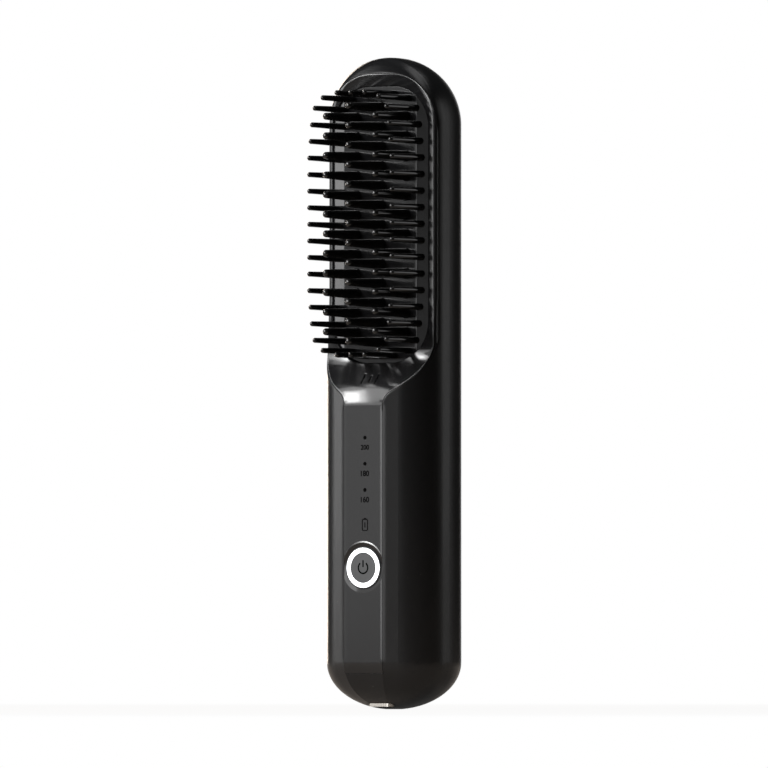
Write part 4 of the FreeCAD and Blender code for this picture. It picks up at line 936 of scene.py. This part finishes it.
# %% Level numbers
NUMBER_WIDTH = 3.1 * MM
NUMBER_DROP = 2.95 * MM
DIGIT_WEIGHT = 0.03
DIGIT_DEPTH = 0.01
DIGIT_MERGE = 0.0005


def text_mesh(words):
    """Digits as a closed mesh in the text's own units: a thick text curve with its doubles merged."""
    curve = bpy.data.curves.new("digits_" + words, "FONT")
    curve.body = words
    curve.offset = DIGIT_WEIGHT
    curve.extrude = DIGIT_DEPTH
    holder = bpy.data.objects.new("digits_" + words, curve)
    scene.collection.objects.link(holder)
    mesh = bpy.data.meshes.new_from_object(holder.evaluated_get(bpy.context.evaluated_depsgraph_get()))
    bpy.data.objects.remove(holder)
    solid = bmesh.new()
    solid.from_mesh(mesh)
    bmesh.ops.remove_doubles(solid, verts=solid.verts, dist=DIGIT_MERGE)
    bmesh.ops.recalc_face_normals(solid, faces=solid.faces)
    solid.to_mesh(mesh)
    solid.free()
    return mesh


def level_number(words, middle):
    """Thin solid digits, scaled to the number's width and stood up on the strip.

    Their back lies on the strip's face, and their front one ink depth before it.
    """
    mesh = text_mesh(words)
    flat = np.empty(len(mesh.vertices) * 3)
    mesh.vertices.foreach_get("co", flat)
    flat = flat.reshape(-1, 3)
    centre = (flat.min(axis=0) + flat.max(axis=0)) / 2
    flat = (flat - centre) * NUMBER_WIDTH / np.ptp(flat[:, 0])
    depth = np.where(flat[:, 2] > 0.0, INK_DEPTH, 0.0)
    stood = np.stack([middle[0] + flat[:, 0], strip_front - depth, middle[1] + flat[:, 1]], axis=1)
    faces = [list(p.vertices) for p in mesh.polygons]
    made = mesh_object("level_number_" + words, stood, faces, smooth=False)
    bpy.data.meshes.remove(mesh)
    set_on(made, sign_ink, "brush")
    return made


print("numbers are", round(NUMBER_WIDTH / MM, 1), "mm wide")

# %% Level windows
LEVELS = ("160", "180", "200")
RING_RADIUS = 0.4 * MM
RING_LINE = 0.4 * MM
RING_POINTS = 36
window_low, window_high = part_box("temperature_lenses")
window_radius = (window_high[0] - window_low[0]) / 2
window_heights = np.linspace(window_low[2] + window_radius, window_high[2] - window_radius, len(LEVELS))
for words, height in zip(LEVELS, window_heights):
    number = level_number(words, (lens_middle[0], height - NUMBER_DROP))
    ring_path = arc_path((lens_middle[0], height), RING_RADIUS, 0.0, 360.0 - 360.0 / RING_POINTS, RING_POINTS)
    sign("window_edge_" + words, [sign_line(ring_path, RING_LINE, True)], "brush")
    print("level", words, "at", round(height / MM, 1), "mm:", len(number.data.polygons), "faces")

# %% [markdown]
# ## Inside finishes
# The heater, the board and the cell are hidden by the body, but the model can be taken apart, so each has
# the finish of the real thing: cast aluminium, white ceramic, amber film, steel, green lacquer, tinned
# cans. They differ only in numbers, so they are rows of one table.

# %% Inner finishes
METAL = {"Metallic": 1.0}
inner_finishes = [
    ("cast_aluminium", (0.55, 0.55, 0.56), (0.63, 0.63, 0.64), (0.35, 0.5), 900.0, 0.03, METAL,
     ["heating_plate"]),
    ("white_ceramic", (0.78, 0.76, 0.72), (0.84, 0.83, 0.80), (0.5, 0.6), 2200.0, 0.01, {}, ["ptc_heater"]),
    ("amber_film", (0.45, 0.16, 0.02), (0.52, 0.20, 0.03), (0.2, 0.32), 700.0, 0.01, {},
     ["heater_insulation_film"]),
    ("rolled_steel", (0.50, 0.50, 0.51), (0.58, 0.58, 0.59), (0.28, 0.4), 1400.0, 0.006, METAL,
     ["heater_clamp", "heat_shield"]),
    ("screw_steel", (0.42, 0.42, 0.43), (0.52, 0.52, 0.53), (0.25, 0.36), 2600.0, 0.004, METAL,
     ["plate_screws", "shield_screws", "board_screws"]),
    ("grey_silicone", (0.16, 0.16, 0.16), (0.20, 0.20, 0.20), (0.6, 0.72), 1800.0, 0.01, {},
     ["bed_gasket", "battery_pads"]),
    ("glass_bead", (0.30, 0.10, 0.04), (0.38, 0.14, 0.06), (0.1, 0.2), 900.0, 0.002, {}, ["thermistor"]),
    ("fuse_can", (0.55, 0.55, 0.55), (0.62, 0.62, 0.62), (0.2, 0.3), 1600.0, 0.002, METAL, ["thermal_fuse"]),
    ("board_lacquer", (0.012, 0.09, 0.035), (0.016, 0.11, 0.045), (0.25, 0.36), 1300.0, 0.006, {},
     ["main_pcb", "usb_pcb"]),
    ("chip_resin", (0.016, 0.016, 0.017), (0.024, 0.024, 0.025), (0.45, 0.58), 3000.0, 0.006, {},
     ["mcu_chip", "power_mosfet", "tact_switch"]),
    ("ferrite", (0.05, 0.048, 0.046), (0.08, 0.076, 0.072), (0.4, 0.55), 2000.0, 0.01, {},
     ["boost_inductor"]),
    ("tinned_can", (0.66, 0.66, 0.67), (0.72, 0.72, 0.73), (0.22, 0.3), 1500.0, 0.003, METAL,
     ["filter_capacitors"]),
    ("lamp_resin", (0.80, 0.72, 0.40), (0.86, 0.80, 0.52), (0.15, 0.25), 1200.0, 0.002, {},
     ["ring_leds", "indicator_leds"]),
    ("cell_wrap", (0.02, 0.09, 0.30), (0.03, 0.12, 0.36), (0.25, 0.36), 800.0, 0.006, {}, ["battery_cell"]),
    ("inner_plastic", (0.05, 0.05, 0.052), (0.07, 0.07, 0.072), (0.42, 0.55), 2600.0, 0.012, {},
     ["battery_cradle", "switch_stem", "usb_c_tongue"]),
    ("white_plastic", (0.72, 0.72, 0.70), (0.78, 0.78, 0.76), (0.4, 0.5), 2600.0, 0.01, {}, ["light_shroud"]),
    ("wire_jacket", (0.35, 0.02, 0.02), (0.42, 0.03, 0.03), (0.4, 0.5), 1500.0, 0.006, {},
     ["battery_leads", "heater_leads", "sensor_leads", "usb_leads"]),
]
for *look, sockets, wearers in inner_finishes:
    dress(finish(*look, sockets=sockets), *wearers)
print("finishes", len(bpy.data.materials))
